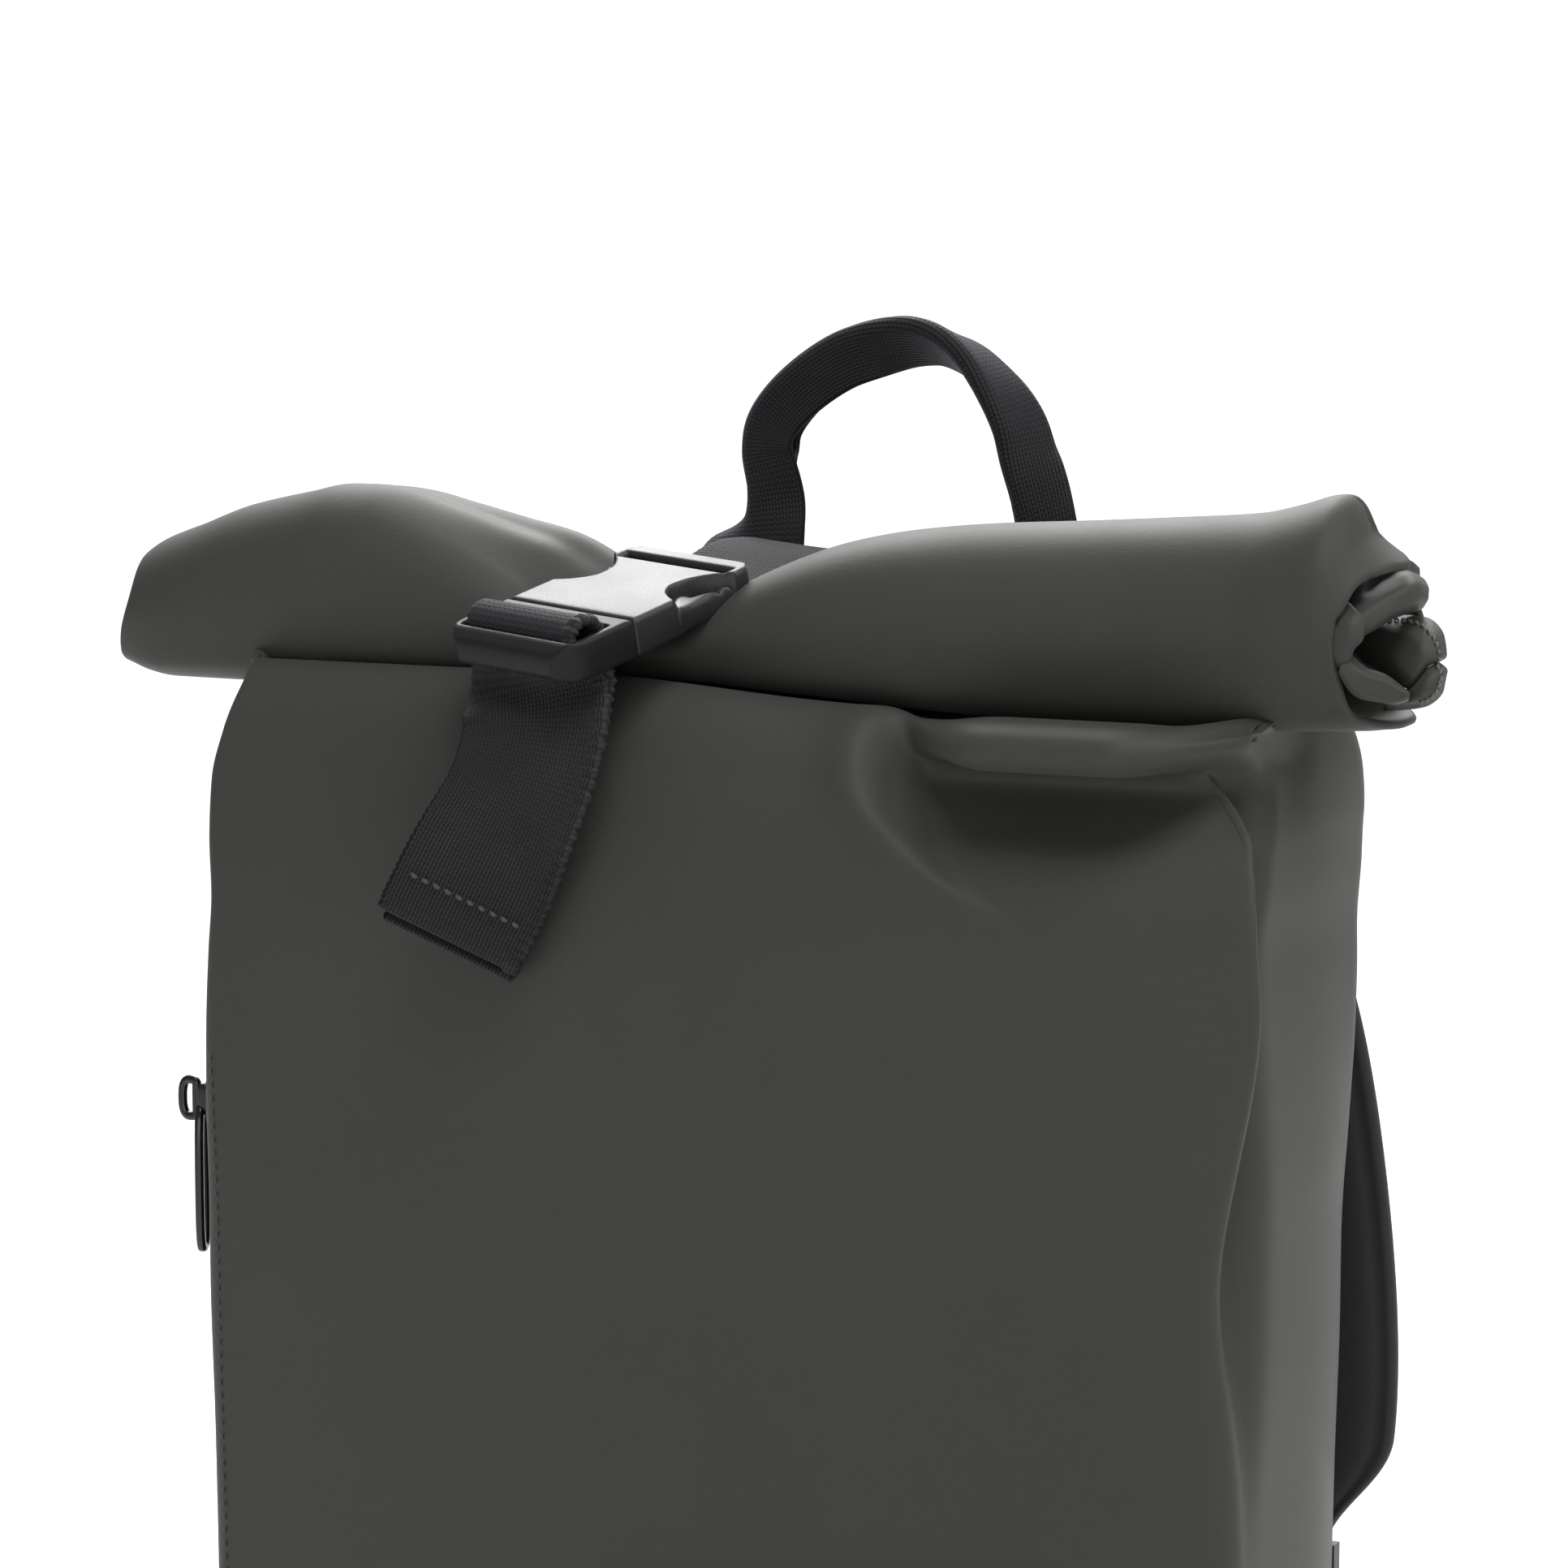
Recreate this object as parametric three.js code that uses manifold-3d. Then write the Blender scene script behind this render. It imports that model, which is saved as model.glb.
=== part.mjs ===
// A rolltop backpack, standing rolled shut and buckled. Millimetres, Z up.
// X runs across the bag, its front faces -Y, and the origin is on the ground under the middle of the base.
// The coated cloth body is a hollow shell whose mouth holds the neck of the rolled closure.
import * as THREE from 'three';
import * as BufferGeometryUtils from 'three/addons/utils/BufferGeometryUtils.js';
import Module from 'manifold-3d';

const wasm = await Module();
wasm.setup();

// Body.
const bodyWidth = 308;
const bodyDepth = 120;
const shoulderHeight = 357;
const clothWall = 2;
const frontCornerRadius = 9;
const backCornerRadius = 22;
const frontPuff = 7;
const cornerRidge = 8;
const gussetSink = 5;
const backTuck = 8;
const seatGap = 0.3;

// Mouth and neck, off centre because the roll lies a little to the left.
const mouthWidth = 382;
const mouthShift = -20;
const mouthRise = 14;
const neckY = 21;
const slotClearance = 2.4;
const neckDepth = 4;

// Rolled closure: two layers of cloth pressed together.
const rollSheet = 2.4;
const rollWidth = 370;
const rollDepth = 60;
const rollHeight = 54;
const rollRise = 26;
const rollTurns = 1.7;
const turnShrink = 0.24;
const hemStepOut = 28;

// Webbing.
const webWidth = 40;
const webThick = 1.8;
const tailLength = 67;
const hemLength = 16;
const rearStrapX = -4;

// Buckle.
const buckleWidth = 49;
const buckleThick = 11;
const plugLength = 26;
const socketLength = 48;
const barLength = 4;
const slotLength = 4.6;
const rearSlotLength = 3.2;
const buckleSlope = 15;
const buckleTurn = 19;
const buckleLean = 3.5;
const buckleRise = 20.5;
const loopRise = 3.4;
const buckleFront = new THREE.Vector3(-49, -75, shoulderHeight + buckleRise);

// Handle.
const handleSpread = 88;
const handleRise = 107.5;
const handleBack = 14;
const handleFold = 18;
const handleFoldThick = 9;
const handleFootDrop = 15;
const handleFootTuck = 2.4;
const handleWebWidth = 32;

// Shoulder straps.
const strapWidth = 60;
const strapThick = 9;
const strapTopDrop = 21;
const strapEnd = 118;
const strapSpread = 233;
const strapStandOff = 20;
const lowerWebWidth = 25;
const lowerWebThick = 1.6;
const lowerWebHeight = 22;
const adjusterWidth = 36;
const adjusterLength = 30;
const adjusterThick = 5;
const adjusterSlot = 3.6;

// Side pocket zip.
const zipTop = 266;
const zipLength = 172;
const zipTapeWidth = 16;
const zipTapeThick = 1;
const zipTeethWidth = 5;
const zipTeethThick = 1.6;
const zipY = -43;
const sliderLength = 14;
const sliderWidth = 8;
const sliderThick = 5;
const ringLength = 13;
const ringWidth = 7;
const ringWire = 1.8;
const tabLength = 42;
const tabWidth = 11;
const tabThick = 2.6;
const tabRim = 3.6;

// Looks of each material.
const cloth = { color: 0x474845, roughness: 0.62, metalness: 0 };
const padding = { color: 0x2e2f2e, roughness: 0.8, metalness: 0 };
const webbing = { color: 0x1c1c1e, roughness: 0.7, metalness: 0 };
const plastic = { color: 0x131315, roughness: 0.4, metalness: 0 };
const enamel = { color: 0x0c0c0d, roughness: 0.3, metalness: 0.4 };

const group = new THREE.Group();
group.name = 'rolltop_backpack';

function add(name, geometry, look) {
  const mesh = new THREE.Mesh(geometry, new THREE.MeshStandardMaterial(look));
  mesh.name = name;
  group.add(mesh);
  return mesh;
}

const lerp = THREE.MathUtils.lerp;
const smooth = THREE.MathUtils.smoothstep;
const radians = THREE.MathUtils.degToRad;
const bell = (value, centre, spread) => Math.exp(-(((value - centre) / spread) ** 2));
const range = (count) => Array.from({ length: count + 1 }, (_, i) => i / count);

// Reads a table of rows by its first column, with straight lines between the rows.
function readTable(rows, key, at) {
  const keys = Object.keys(rows[0]);
  let index = rows.findIndex((row) => row[key] >= at);
  if (index < 0) index = rows.length - 1;
  const high = rows[index];
  const low = rows[Math.max(index - 1, 0)];
  const share = high === low ? 0 : (at - low[key]) / (high[key] - low[key]);
  return Object.fromEntries(keys.map((name) => [name, lerp(low[name], high[name], share)]));
}

// Triangles of a closed skin from a list of points and of faces with three or four corners.
function skin(points, faces) {
  const index = faces.flatMap((f) => (f.length === 4 ? [f[0], f[1], f[2], f[0], f[2], f[3]] : f));
  const geometry = new THREE.BufferGeometry();
  geometry.setAttribute('position', new THREE.Float32BufferAttribute(points.flatMap((p) => [p.x, p.y, p.z]), 3));
  geometry.setIndex(index);
  geometry.computeVertexNormals();
  return geometry;
}

// Unit normals of a grid of points, from the cross product of its two directions.
function gridNormals(grid, wrap) {
  const rows = grid.length;
  const columns = grid[0].length;
  return grid.map((row, r) => row.map((point, c) => {
    const left = wrap ? (c + columns - 1) % columns : Math.max(c - 1, 0);
    const right = wrap ? (c + 1) % columns : Math.min(c + 1, columns - 1);
    const along = row[right].clone().sub(row[left]);
    const across = grid[Math.min(r + 1, rows - 1)][c].clone().sub(grid[Math.max(r - 1, 0)][c]);
    return along.cross(across).normalize();
  }));
}

function offsetGrid(grid, distance, wrap) {
  const normals = gridNormals(grid, wrap);
  return grid.map((row, r) => row.map((point, c) => point.clone().addScaledVector(normals[r][c], distance)));
}

// A sheet with thickness between two grids of the same size, closed along its four edges.
function sheetSolid(top, bottom) {
  const rows = top.length;
  const columns = top[0].length;
  const count = rows * columns;
  const at = (r, c) => r * columns + c;
  const under = (r, c) => count + at(r, c);
  const faces = [];
  for (let r = 0; r < rows - 1; r += 1) {
    for (let c = 0; c < columns - 1; c += 1) {
      faces.push([at(r, c), at(r, c + 1), at(r + 1, c + 1), at(r + 1, c)]);
      faces.push([under(r, c), under(r + 1, c), under(r + 1, c + 1), under(r, c + 1)]);
    }
  }
  for (let c = 0; c < columns - 1; c += 1) {
    faces.push([at(0, c), under(0, c), under(0, c + 1), at(0, c + 1)]);
    faces.push([at(rows - 1, c), at(rows - 1, c + 1), under(rows - 1, c + 1), under(rows - 1, c)]);
  }
  for (let r = 0; r < rows - 1; r += 1) {
    faces.push([at(r, 0), at(r + 1, 0), under(r + 1, 0), under(r, 0)]);
    faces.push([at(r, columns - 1), under(r, columns - 1), under(r + 1, columns - 1), at(r + 1, columns - 1)]);
  }
  return skin([...top.flat(), ...bottom.flat()], faces);
}

// A solid through closed rings of points, with flat ends.
function ringSolid(rings) {
  const sides = rings[0].length;
  const points = rings.flat();
  const faces = [];
  for (let r = 0; r < rings.length - 1; r += 1) {
    for (let i = 0; i < sides; i += 1) {
      const next = (i + 1) % sides;
      faces.push([r * sides + i, r * sides + next, (r + 1) * sides + next, (r + 1) * sides + i]);
    }
  }
  const middle = (ring) => ring.reduce((sum, p) => sum.add(p), new THREE.Vector3()).divideScalar(sides);
  const first = points.push(middle(rings[0])) - 1;
  const last = points.push(middle(rings[rings.length - 1])) - 1;
  const end = (rings.length - 1) * sides;
  for (let i = 0; i < sides; i += 1) {
    const next = (i + 1) % sides;
    faces.push([first, next, i]);
    faces.push([last, end + i, end + next]);
  }
  return skin(points, faces);
}

// A flat band of cloth along a curve: across gives the direction of its width at each share of the way.
function band(points, across, width, thick, steps) {
  const curve = new THREE.CatmullRomCurve3(points, false, 'centripetal');
  const rows = range(steps).map((share) => {
    const centre = curve.getPointAt(share);
    const along = curve.getTangentAt(share);
    const wide = across(share).clone();
    wide.addScaledVector(along, -wide.dot(along)).normalize();
    const up = wide.clone().cross(along).normalize();
    const half = width / 2;
    const deep = typeof thick === 'function' ? thick(share) : thick;
    const edge = (side, face) => centre.clone().addScaledVector(wide, side * half).addScaledVector(up, face * deep / 2);
    return { top: [edge(-1, 1), edge(1, 1)], bottom: [edge(-1, -1), edge(1, -1)] };
  });
  return sheetSolid(rows.map((row) => row.top), rows.map((row) => row.bottom));
}

// Joining and cutting with closed solids.
function toSolid(geometry) {
  const bare = geometry.index ? geometry.toNonIndexed() : geometry.clone();
  bare.deleteAttribute('normal');
  bare.deleteAttribute('uv');
  const merged = BufferGeometryUtils.mergeVertices(bare, 1e-4);
  return new wasm.Manifold(new wasm.Mesh({
    numProp: 3,
    vertProperties: new Float32Array(merged.attributes.position.array),
    triVerts: new Uint32Array(merged.index.array),
  }));
}

function fromSolid(solid) {
  const mesh = solid.getMesh();
  const geometry = new THREE.BufferGeometry();
  geometry.setAttribute('position', new THREE.BufferAttribute(new Float32Array(mesh.vertProperties), 3));
  geometry.setIndex(new THREE.BufferAttribute(new Uint32Array(mesh.triVerts), 1));
  geometry.computeVertexNormals();
  return geometry;
}

const halfWidth = bodyWidth / 2;
const halfDepth = bodyDepth / 2;

// Sections of the body from the base to the mouth. Heights are shares of the shoulder height up to 1,
// and above that shares of the rise to the mouth. Width and depth are shares of half the body's,
// and close is how far the section has closed to the mouth's slot.
const bodySections = [
  { step: 0, height: 0, width: 0.76, front: 0.4, back: 0.4, close: 0 },
  { step: 1, height: 0, width: 0.955, front: 0.87, back: 0.87, close: 0 },
  { step: 2, height: 0.008, width: 0.985, front: 0.965, back: 0.965, close: 0 },
  { step: 3, height: 0.028, width: 1, front: 1, back: 1, close: 0 },
  { step: 4, height: 0.14, width: 1, front: 1, back: 1, close: 0 },
  { step: 5, height: 0.28, width: 1, front: 1, back: 1, close: 0 },
  { step: 6, height: 0.42, width: 1.005, front: 1, back: 1, close: 0 },
  { step: 7, height: 0.55, width: 1.01, front: 1, back: 1, close: 0 },
  { step: 8, height: 0.66, width: 1.01, front: 1, back: 1, close: 0 },
  { step: 9, height: 0.74, width: 1.01, front: 1, back: 1, close: 0 },
  { step: 10, height: 0.81, width: 1.005, front: 1, back: 1, close: 0 },
  { step: 11, height: 0.86, width: 1, front: 1, back: 1, close: 0 },
  { step: 12, height: 0.9, width: 0.99, front: 1, back: 1, close: 0 },
  { step: 13, height: 0.935, width: 0.985, front: 0.97, back: 0.98, close: 0 },
  { step: 14, height: 0.965, width: 0.98, front: 0.88, back: 0.94, close: 0 },
  { step: 15, height: 0.985, width: 0.985, front: 0.74, back: 0.86, close: 0 },
  { step: 16, height: 0.996, width: 1, front: 0.5, back: 0.74, close: 0.08 },
  { step: 17, height: 1, width: 1.03, front: 0.16, back: 0.62, close: 0.3 },
  { step: 18, height: 1.25, width: 1.08, front: -0.1, back: 0.5, close: 0.62 },
  { step: 19, height: 1.55, width: 1.16, front: -0.22, back: 0.46, close: 0.94 },
  { step: 20, height: 2, width: 1.18, front: -0.24, back: 0.44, close: 1 },
];

// The front and its folds: a lip under the right half of the roll, a hollow below it,
// a comma-shaped pinch at the hollow's left end, and the soft ridge down the right front corner.
// Places are shares of half the body's width and of the shoulder height, sizes are in millimetres.
const frontFolds = [
  { x: 0.66, z: 0.985, spreadX: 0.36, spreadZ: 0.03, out: 9 },
  { x: 0.62, z: 0.905, spreadX: 0.3, spreadZ: 0.045, out: -13 },
  { x: 0.19, z: 0.93, spreadX: 0.1, spreadZ: 0.06, out: 4 },
  { x: 0.3, z: 0.76, spreadX: 0.5, spreadZ: 0.09, out: 4 },
  { x: 1, z: 0.79, spreadX: 0.12, spreadZ: 0.12, out: 5 },
  { x: -0.25, z: 0.8, spreadX: 0.4, spreadZ: 0.16, out: 2 },
];

function frontOut(x, z) {
  const across = x / halfWidth;
  const up = z / shoulderHeight;
  const puff = frontPuff * Math.max(0, 1 - across ** 2) * smooth(up, 0.03, 0.35) * (1 - smooth(up, 0.86, 1));
  return frontFolds.reduce((sum, f) => sum + f.out * bell(across, f.x, f.spreadX) * bell(up, f.z, f.spreadZ), puff);
}

// The right gusset swells at the corner ridge, sinks behind it and tucks in along the back.
function rightOut(y, z) {
  const up = z / shoulderHeight;
  const ridge = cornerRidge * bell(up, 0.79, 0.12) * bell(y / halfDepth, -0.8, 0.3);
  const sink = -gussetSink * bell(up, 0.86, 0.14) * bell(y / halfDepth, -0.35, 0.3);
  const tuck = -backTuck * bell(y / halfDepth, 0.9, 0.5) * (1 - smooth(up, 0.6, 0.88));
  return ridge + sink + tuck;
}

const cornerSteps = 4;
const ringPlan = { front: 14, right: 4, back: 8, left: 4 };

// One closed ring of the body, counter-clockwise from the left end of the front.
function bodyRing(section) {
  const closed = section.close;
  const toMouth = (open, shut) => lerp(open, shut, closed);
  const centreX = mouthShift * closed;
  const half = toMouth(halfWidth * section.width, mouthWidth / 2);
  const slotHalf = (rollSheet + slotClearance) / 2 + clothWall;
  const front = toMouth(-halfDepth * section.front, neckY - slotHalf);
  const back = toMouth(halfDepth * section.back, neckY + slotHalf);
  const shrink = Math.min(1, (back - front) / 2.05 / backCornerRadius);
  const cornerFront = Math.min(frontCornerRadius, (back - front) / 2.05) * Math.max(shrink, 0.1);
  const cornerBack = backCornerRadius * shrink;
  const level = Math.min(section.height, 1) * shoulderHeight + Math.max(section.height - 1, 0) * mouthRise;
  const corners = [
    { x: half - cornerFront, y: front + cornerFront, radius: cornerFront, turn: -90, steps: ringPlan.right },
    { x: half - cornerBack, y: back - cornerBack, radius: cornerBack, turn: 0, steps: ringPlan.back },
    { x: cornerBack - half, y: back - cornerBack, radius: cornerBack, turn: 90, steps: ringPlan.left },
    { x: cornerFront - half, y: front + cornerFront, radius: cornerFront, turn: 180, steps: ringPlan.front },
  ];
  const ring = [];
  corners.forEach((corner, i) => {
    for (const share of range(cornerSteps)) {
      const angle = radians(corner.turn + 90 * share);
      ring.push(new THREE.Vector2(corner.x + corner.radius * Math.cos(angle), corner.y + corner.radius * Math.sin(angle)));
    }
    const next = corners[(i + 1) % corners.length];
    const from = ring[ring.length - 1].clone();
    const start = radians(next.turn);
    const to = new THREE.Vector2(next.x + next.radius * Math.cos(start), next.y + next.radius * Math.sin(start));
    for (let s = 1; s < corner.steps; s += 1) ring.push(from.clone().lerp(to, s / corner.steps));
  });
  const soft = 1 - closed;
  const settled = smooth(section.height, 0, 0.03);
  return ring.map((point) => {
    const x = centreX + point.x;
    const frontShare = smooth(-point.y, -halfDepth * 0.2, halfDepth * 0.75) * soft * settled;
    const rightShare = smooth(point.x, half * 0.8, half) * soft * settled;
    return new THREE.Vector3(
      x + rightShare * rightOut(point.y, level),
      point.y - frontShare * frontOut(x, level),
      level,
    );
  });
}

function bodyShell() {
  const outer = bodySections.map(bodyRing);
  const inner = offsetGrid(outer, -clothWall, true);
  const rows = outer.length;
  const sides = outer[0].length;
  const points = [...outer.flat(), ...inner.flat()];
  const inside = rows * sides;
  const faces = [];
  for (let i = 0; i < sides; i += 1) {
    const next = (i + 1) % sides;
    for (let r = 0; r < rows - 1; r += 1) {
      faces.push([r * sides + i, r * sides + next, (r + 1) * sides + next, (r + 1) * sides + i]);
      faces.push([inside + r * sides + i, inside + (r + 1) * sides + i,
        inside + (r + 1) * sides + next, inside + r * sides + next]);
    }
    const rim = (rows - 1) * sides;
    faces.push([rim + i, rim + next, inside + rim + next, inside + rim + i]);
  }
  const under = points.push(new THREE.Vector3(0, 0, 0)) - 1;
  const floor = points.push(new THREE.Vector3(0, 0, clothWall)) - 1;
  for (let i = 0; i < sides; i += 1) {
    const next = (i + 1) % sides;
    faces.push([under, next, i]);
    faces.push([floor, inside + i, inside + next]);
  }
  return skin(points, faces);
}

// Height and waist of the roll across the bag. along is a share of half the roll's width, and top and
// bottom are shares of the roll's height above and below its middle line. The strap squeezes its middle.
const rollRows = [
  { along: -1, top: 0.14, bottom: 0.31, depth: 0.8 },
  { along: -0.94, top: 0.33, bottom: 0.38, depth: 0.9 },
  { along: -0.8, top: 0.5, bottom: 0.41, depth: 0.96 },
  { along: -0.58, top: 0.66, bottom: 0.38, depth: 1 },
  { along: -0.42, top: 0.58, bottom: 0.34, depth: 1 },
  { along: -0.3, top: 0.37, bottom: 0.31, depth: 0.96 },
  { along: -0.2, top: 0.056, bottom: 0.3, depth: 0.92 },
  { along: 0, top: 0.02, bottom: 0.3, depth: 0.88 },
  { along: 0.15, top: 0.05, bottom: 0.31, depth: 0.92 },
  { along: 0.25, top: 0.38, bottom: 0.34, depth: 0.96 },
  { along: 0.36, top: 0.5, bottom: 0.38, depth: 0.98 },
  { along: 0.5, top: 0.56, bottom: 0.4, depth: 0.98 },
  { along: 0.7, top: 0.6, bottom: 0.41, depth: 0.97 },
  { along: 0.88, top: 0.65, bottom: 0.41, depth: 0.97 },
  { along: 1, top: 0.75, bottom: 0.4, depth: 0.98 },
];
const rollMiddle = shoulderHeight + rollRise;
const rollSteps = 32;
const saddleShift = -0.058;
const neckSteps = 3;
const rollColumns = 26;

// The sheet starts inside the mouth, climbs the back of the roll, goes over its top and winds inwards.
// Each layer lies a little further right than the one around it, as a roll that was wound askew.
function rollTop() {
  const rollCentre = mouthShift;
  const rows = [...range(neckSteps).map((s) => s - 1), ...range(rollSteps).slice(1).map((s) => s * rollTurns)];
  const centreLine = rows.map((turn) => range(rollColumns).map((share) => {
    const along = share * 2 - 1;
    const saddle = saddleShift * (1 - Math.cos(Math.max(turn, 0) * 2 * Math.PI)) * bell(along, 0, 0.5);
    const row = readTable(rollRows, 'along', Math.min(1, along - saddle));
    const swell = row.depth * rollDepth / 2;
    const atTop = 1 - turnShrink / 4;
    const atBottom = 1 - turnShrink * 0.75;
    const high = rollMiddle + row.top * rollHeight - rollSheet / 2;
    const low = rollMiddle - row.bottom * rollHeight + rollSheet / 2;
    const radius = (high - low) / (atTop + atBottom);
    const axis = high - atTop * radius;
    const centreY = neckY - swell;
    const x = rollCentre + along * rollWidth / 2;
    if (turn <= 0) {
      const foot = shoulderHeight + mouthRise - neckDepth;
      return new THREE.Vector3(x, neckY, lerp(axis, foot, -turn));
    }
    const angle = turn * 2 * Math.PI;
    const reach = 1 - turnShrink * turn;
    return new THREE.Vector3(
      x + hemStepOut * turn / rollTurns,
      centreY + swell * reach * Math.cos(angle),
      axis + radius * reach * Math.sin(angle),
    );
  }));
  return sheetSolid(offsetGrid(centreLine, rollSheet / 2, false), offsetGrid(centreLine, -rollSheet / 2, false));
}

// The buckle's own directions: across, along towards the back, and up out of its face.
const buckleAlong = new THREE.Vector3(
  Math.sin(radians(buckleTurn)) * Math.cos(radians(buckleSlope)),
  Math.cos(radians(buckleTurn)) * Math.cos(radians(buckleSlope)),
  Math.sin(radians(buckleSlope)),
);
const buckleAcross = new THREE.Vector3(
  Math.cos(radians(buckleTurn)), -Math.sin(radians(buckleTurn)), -Math.tan(radians(buckleLean)),
).normalize();
buckleAlong.addScaledVector(buckleAcross, -buckleAlong.dot(buckleAcross)).normalize();
const buckleUp = buckleAcross.clone().cross(buckleAlong);
const buckleFrame = new THREE.Matrix4().makeBasis(buckleAcross, buckleAlong, buckleUp).setPosition(buckleFront);
const onBuckle = (across, along, up) => new THREE.Vector3(across, along, up).applyMatrix4(buckleFrame);

// A plate of the buckle from half of its outline, mirrored, with soft edges.
function plate(halfOutline, thick, bevel, holes) {
  const right = halfOutline.map(([x, y]) => new THREE.Vector2(x - bevel * Math.sign(x), y));
  const left = right.slice().reverse().map((p) => new THREE.Vector2(-p.x, p.y));
  const shape = new THREE.Shape([...right, ...left]);
  const options = { depth: thick - 2 * bevel, bevelEnabled: true, bevelThickness: bevel, bevelSize: bevel, bevelSegments: 2 };
  const geometry = new THREE.ExtrudeGeometry(shape, options);
  geometry.translate(0, 0, -(thick - 2 * bevel) / 2);
  let solid = toSolid(geometry);
  for (const [fromY, toY, wide] of holes) {
    const hole = new THREE.BoxGeometry(wide, toY - fromY, thick * 2);
    hole.translate(0, (fromY + toY) / 2, 0);
    solid = solid.subtract(toSolid(hole));
  }
  return solid;
}

const buckleBevel = 1.6;
const slotWidth = webWidth + 2;
const barTop = 1.6;
const frontBar = 6;
const frontSlotEnd = frontBar + slotLength;
const barEnd = frontSlotEnd + barLength;
const backSlotEnd = barEnd + slotLength;

function bucklePlug() {
  const half = buckleWidth / 2;
  const outline = [
    [half * 0.72, buckleBevel], [half * 0.93, buckleBevel + 1.5], [half, buckleBevel + 5],
    [half, plugLength - buckleBevel],
  ];
  const holes = [[frontBar, frontSlotEnd, slotWidth], [barEnd, backSlotEnd, slotWidth]];
  const recess = new THREE.BoxGeometry(slotWidth, backSlotEnd - frontBar, buckleThick);
  recess.translate(0, (frontBar + backSlotEnd) / 2, barTop + buckleThick / 2);
  const solid = plate(outline, buckleThick, buckleBevel, holes).subtract(toSolid(recess));
  return fromSolid(solid).applyMatrix4(buckleFrame);
}

function buckleSocket() {
  const half = buckleWidth / 2;
  const start = plugLength + seatGap;
  const end = start + socketLength;
  const outline = [
    [half, start + buckleBevel], [half * 0.98, start + socketLength * 0.2], [half * 0.78, start + socketLength * 0.3],
    [half * 0.74, start + socketLength * 0.5], [half * 0.86, start + socketLength * 0.66],
    [half * 0.98, start + socketLength * 0.78], [half * 0.94, end - buckleBevel - 2], [half * 0.8, end - buckleBevel],
  ];
  const rear = end - frontBar;
  const solid = plate(outline, buckleThick, buckleBevel, [[rear - rearSlotLength, rear, slotWidth]]);
  return fromSolid(solid).applyMatrix4(buckleFrame);
}

// The rear strap is sewn to the back, climbs over the neck and turns round the bar in the socket.
function rearStrap() {
  const bar = plugLength + seatGap + socketLength - frontBar / 2;
  const slot = bar - frontBar / 2 - rearSlotLength / 2;
  const lift = buckleThick / 2 + webThick / 2 + 0.4;
  const backFace = halfDepth + seatGap + webThick / 2 + 0.3;
  const crest = rollMiddle + rollHeight * 0.25;
  const points = [
    new THREE.Vector3(rearStrapX, backFace, shoulderHeight * 0.85),
    new THREE.Vector3(rearStrapX, backFace, shoulderHeight * 0.93),
    new THREE.Vector3(rearStrapX, halfDepth - 2, shoulderHeight + 8),
    new THREE.Vector3(rearStrapX - 4, halfDepth - 14, crest),
    new THREE.Vector3(rearStrapX - 13, neckY + 6, crest + 4),
    onBuckle(0, bar + 8, -lift),
    onBuckle(0, slot + 1, -lift),
  ];
  const across = (share) => new THREE.Vector3(1, 0, 0).lerp(buckleAcross, smooth(share, 0.35, 0.75));
  return band(points, across, webWidth, webThick, 26);
}

// The front strap is sewn to the front panel just under the plug, passes up round the bar in a loose loop
// and hangs down as a free tail whose end is folded back and stitched.
const anchorDrop = 13;
const anchorLength = 12;
const anchorGap = 3;
const tailReach = new THREE.Vector3(-16, -18, -tailLength);
const tailBow = 5;
const hemLayers = 3;

function frontStrap() {
  const sections = bodySections.filter((section) => section.step > 2 && section.height <= 1);
  const frontFace = (x, z, out) => {
    const share = readTable(sections, 'height', z / shoulderHeight).front;
    return new THREE.Vector3(x, -halfDepth * share - frontOut(x, z) - webThick / 2 - out, z);
  };
  const backSlot = barEnd + slotLength / 2;
  const frontSlot = frontBar + slotLength / 2;
  const under = -buckleThick / 2;
  const overBar = barTop + webThick / 2 + loopRise;
  const tailTop = onBuckle(1, frontSlot - 0.5, under - 4);
  const tailEnd = tailTop.clone().add(tailReach);
  const anchor = shoulderHeight - anchorDrop;
  const anchorX = buckleFront.x - 2;
  const points = [
    frontFace(anchorX, anchor, anchorGap),
    frontFace(anchorX, anchor + anchorLength / 2, anchorGap * 1.6),
    onBuckle(0, backSlot + 2, under - 4.6),
    onBuckle(0, backSlot, under / 2),
    onBuckle(0, backSlot - 0.4, overBar - 2),
    onBuckle(0, (frontSlot + backSlot) / 2, overBar + 0.8),
    onBuckle(0, frontSlot + 0.4, overBar - 2),
    onBuckle(0, frontSlot, under / 2),
    tailTop,
    tailTop.clone().lerp(tailEnd, 0.3).add(new THREE.Vector3(1, tailBow, 0)),
    tailTop.clone().lerp(tailEnd, 0.65).add(new THREE.Vector3(1, tailBow * 0.8, 0)),
    tailEnd,
  ];
  const facing = new THREE.Vector3(0.86, 0.4, -0.31);
  const across = (share) => new THREE.Vector3(1, 0, 0)
    .lerp(buckleAcross, smooth(share, 0.05, 0.16)).lerp(facing, smooth(share, 0.42, 0.98));
  const hemStart = 1 - hemLength / new THREE.CatmullRomCurve3(points, false, 'centripetal').getLength();
  const thick = (share) => webThick * (share > hemStart ? hemLayers : 1);
  return band(points, across, webWidth, thick, 44);
}

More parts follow.
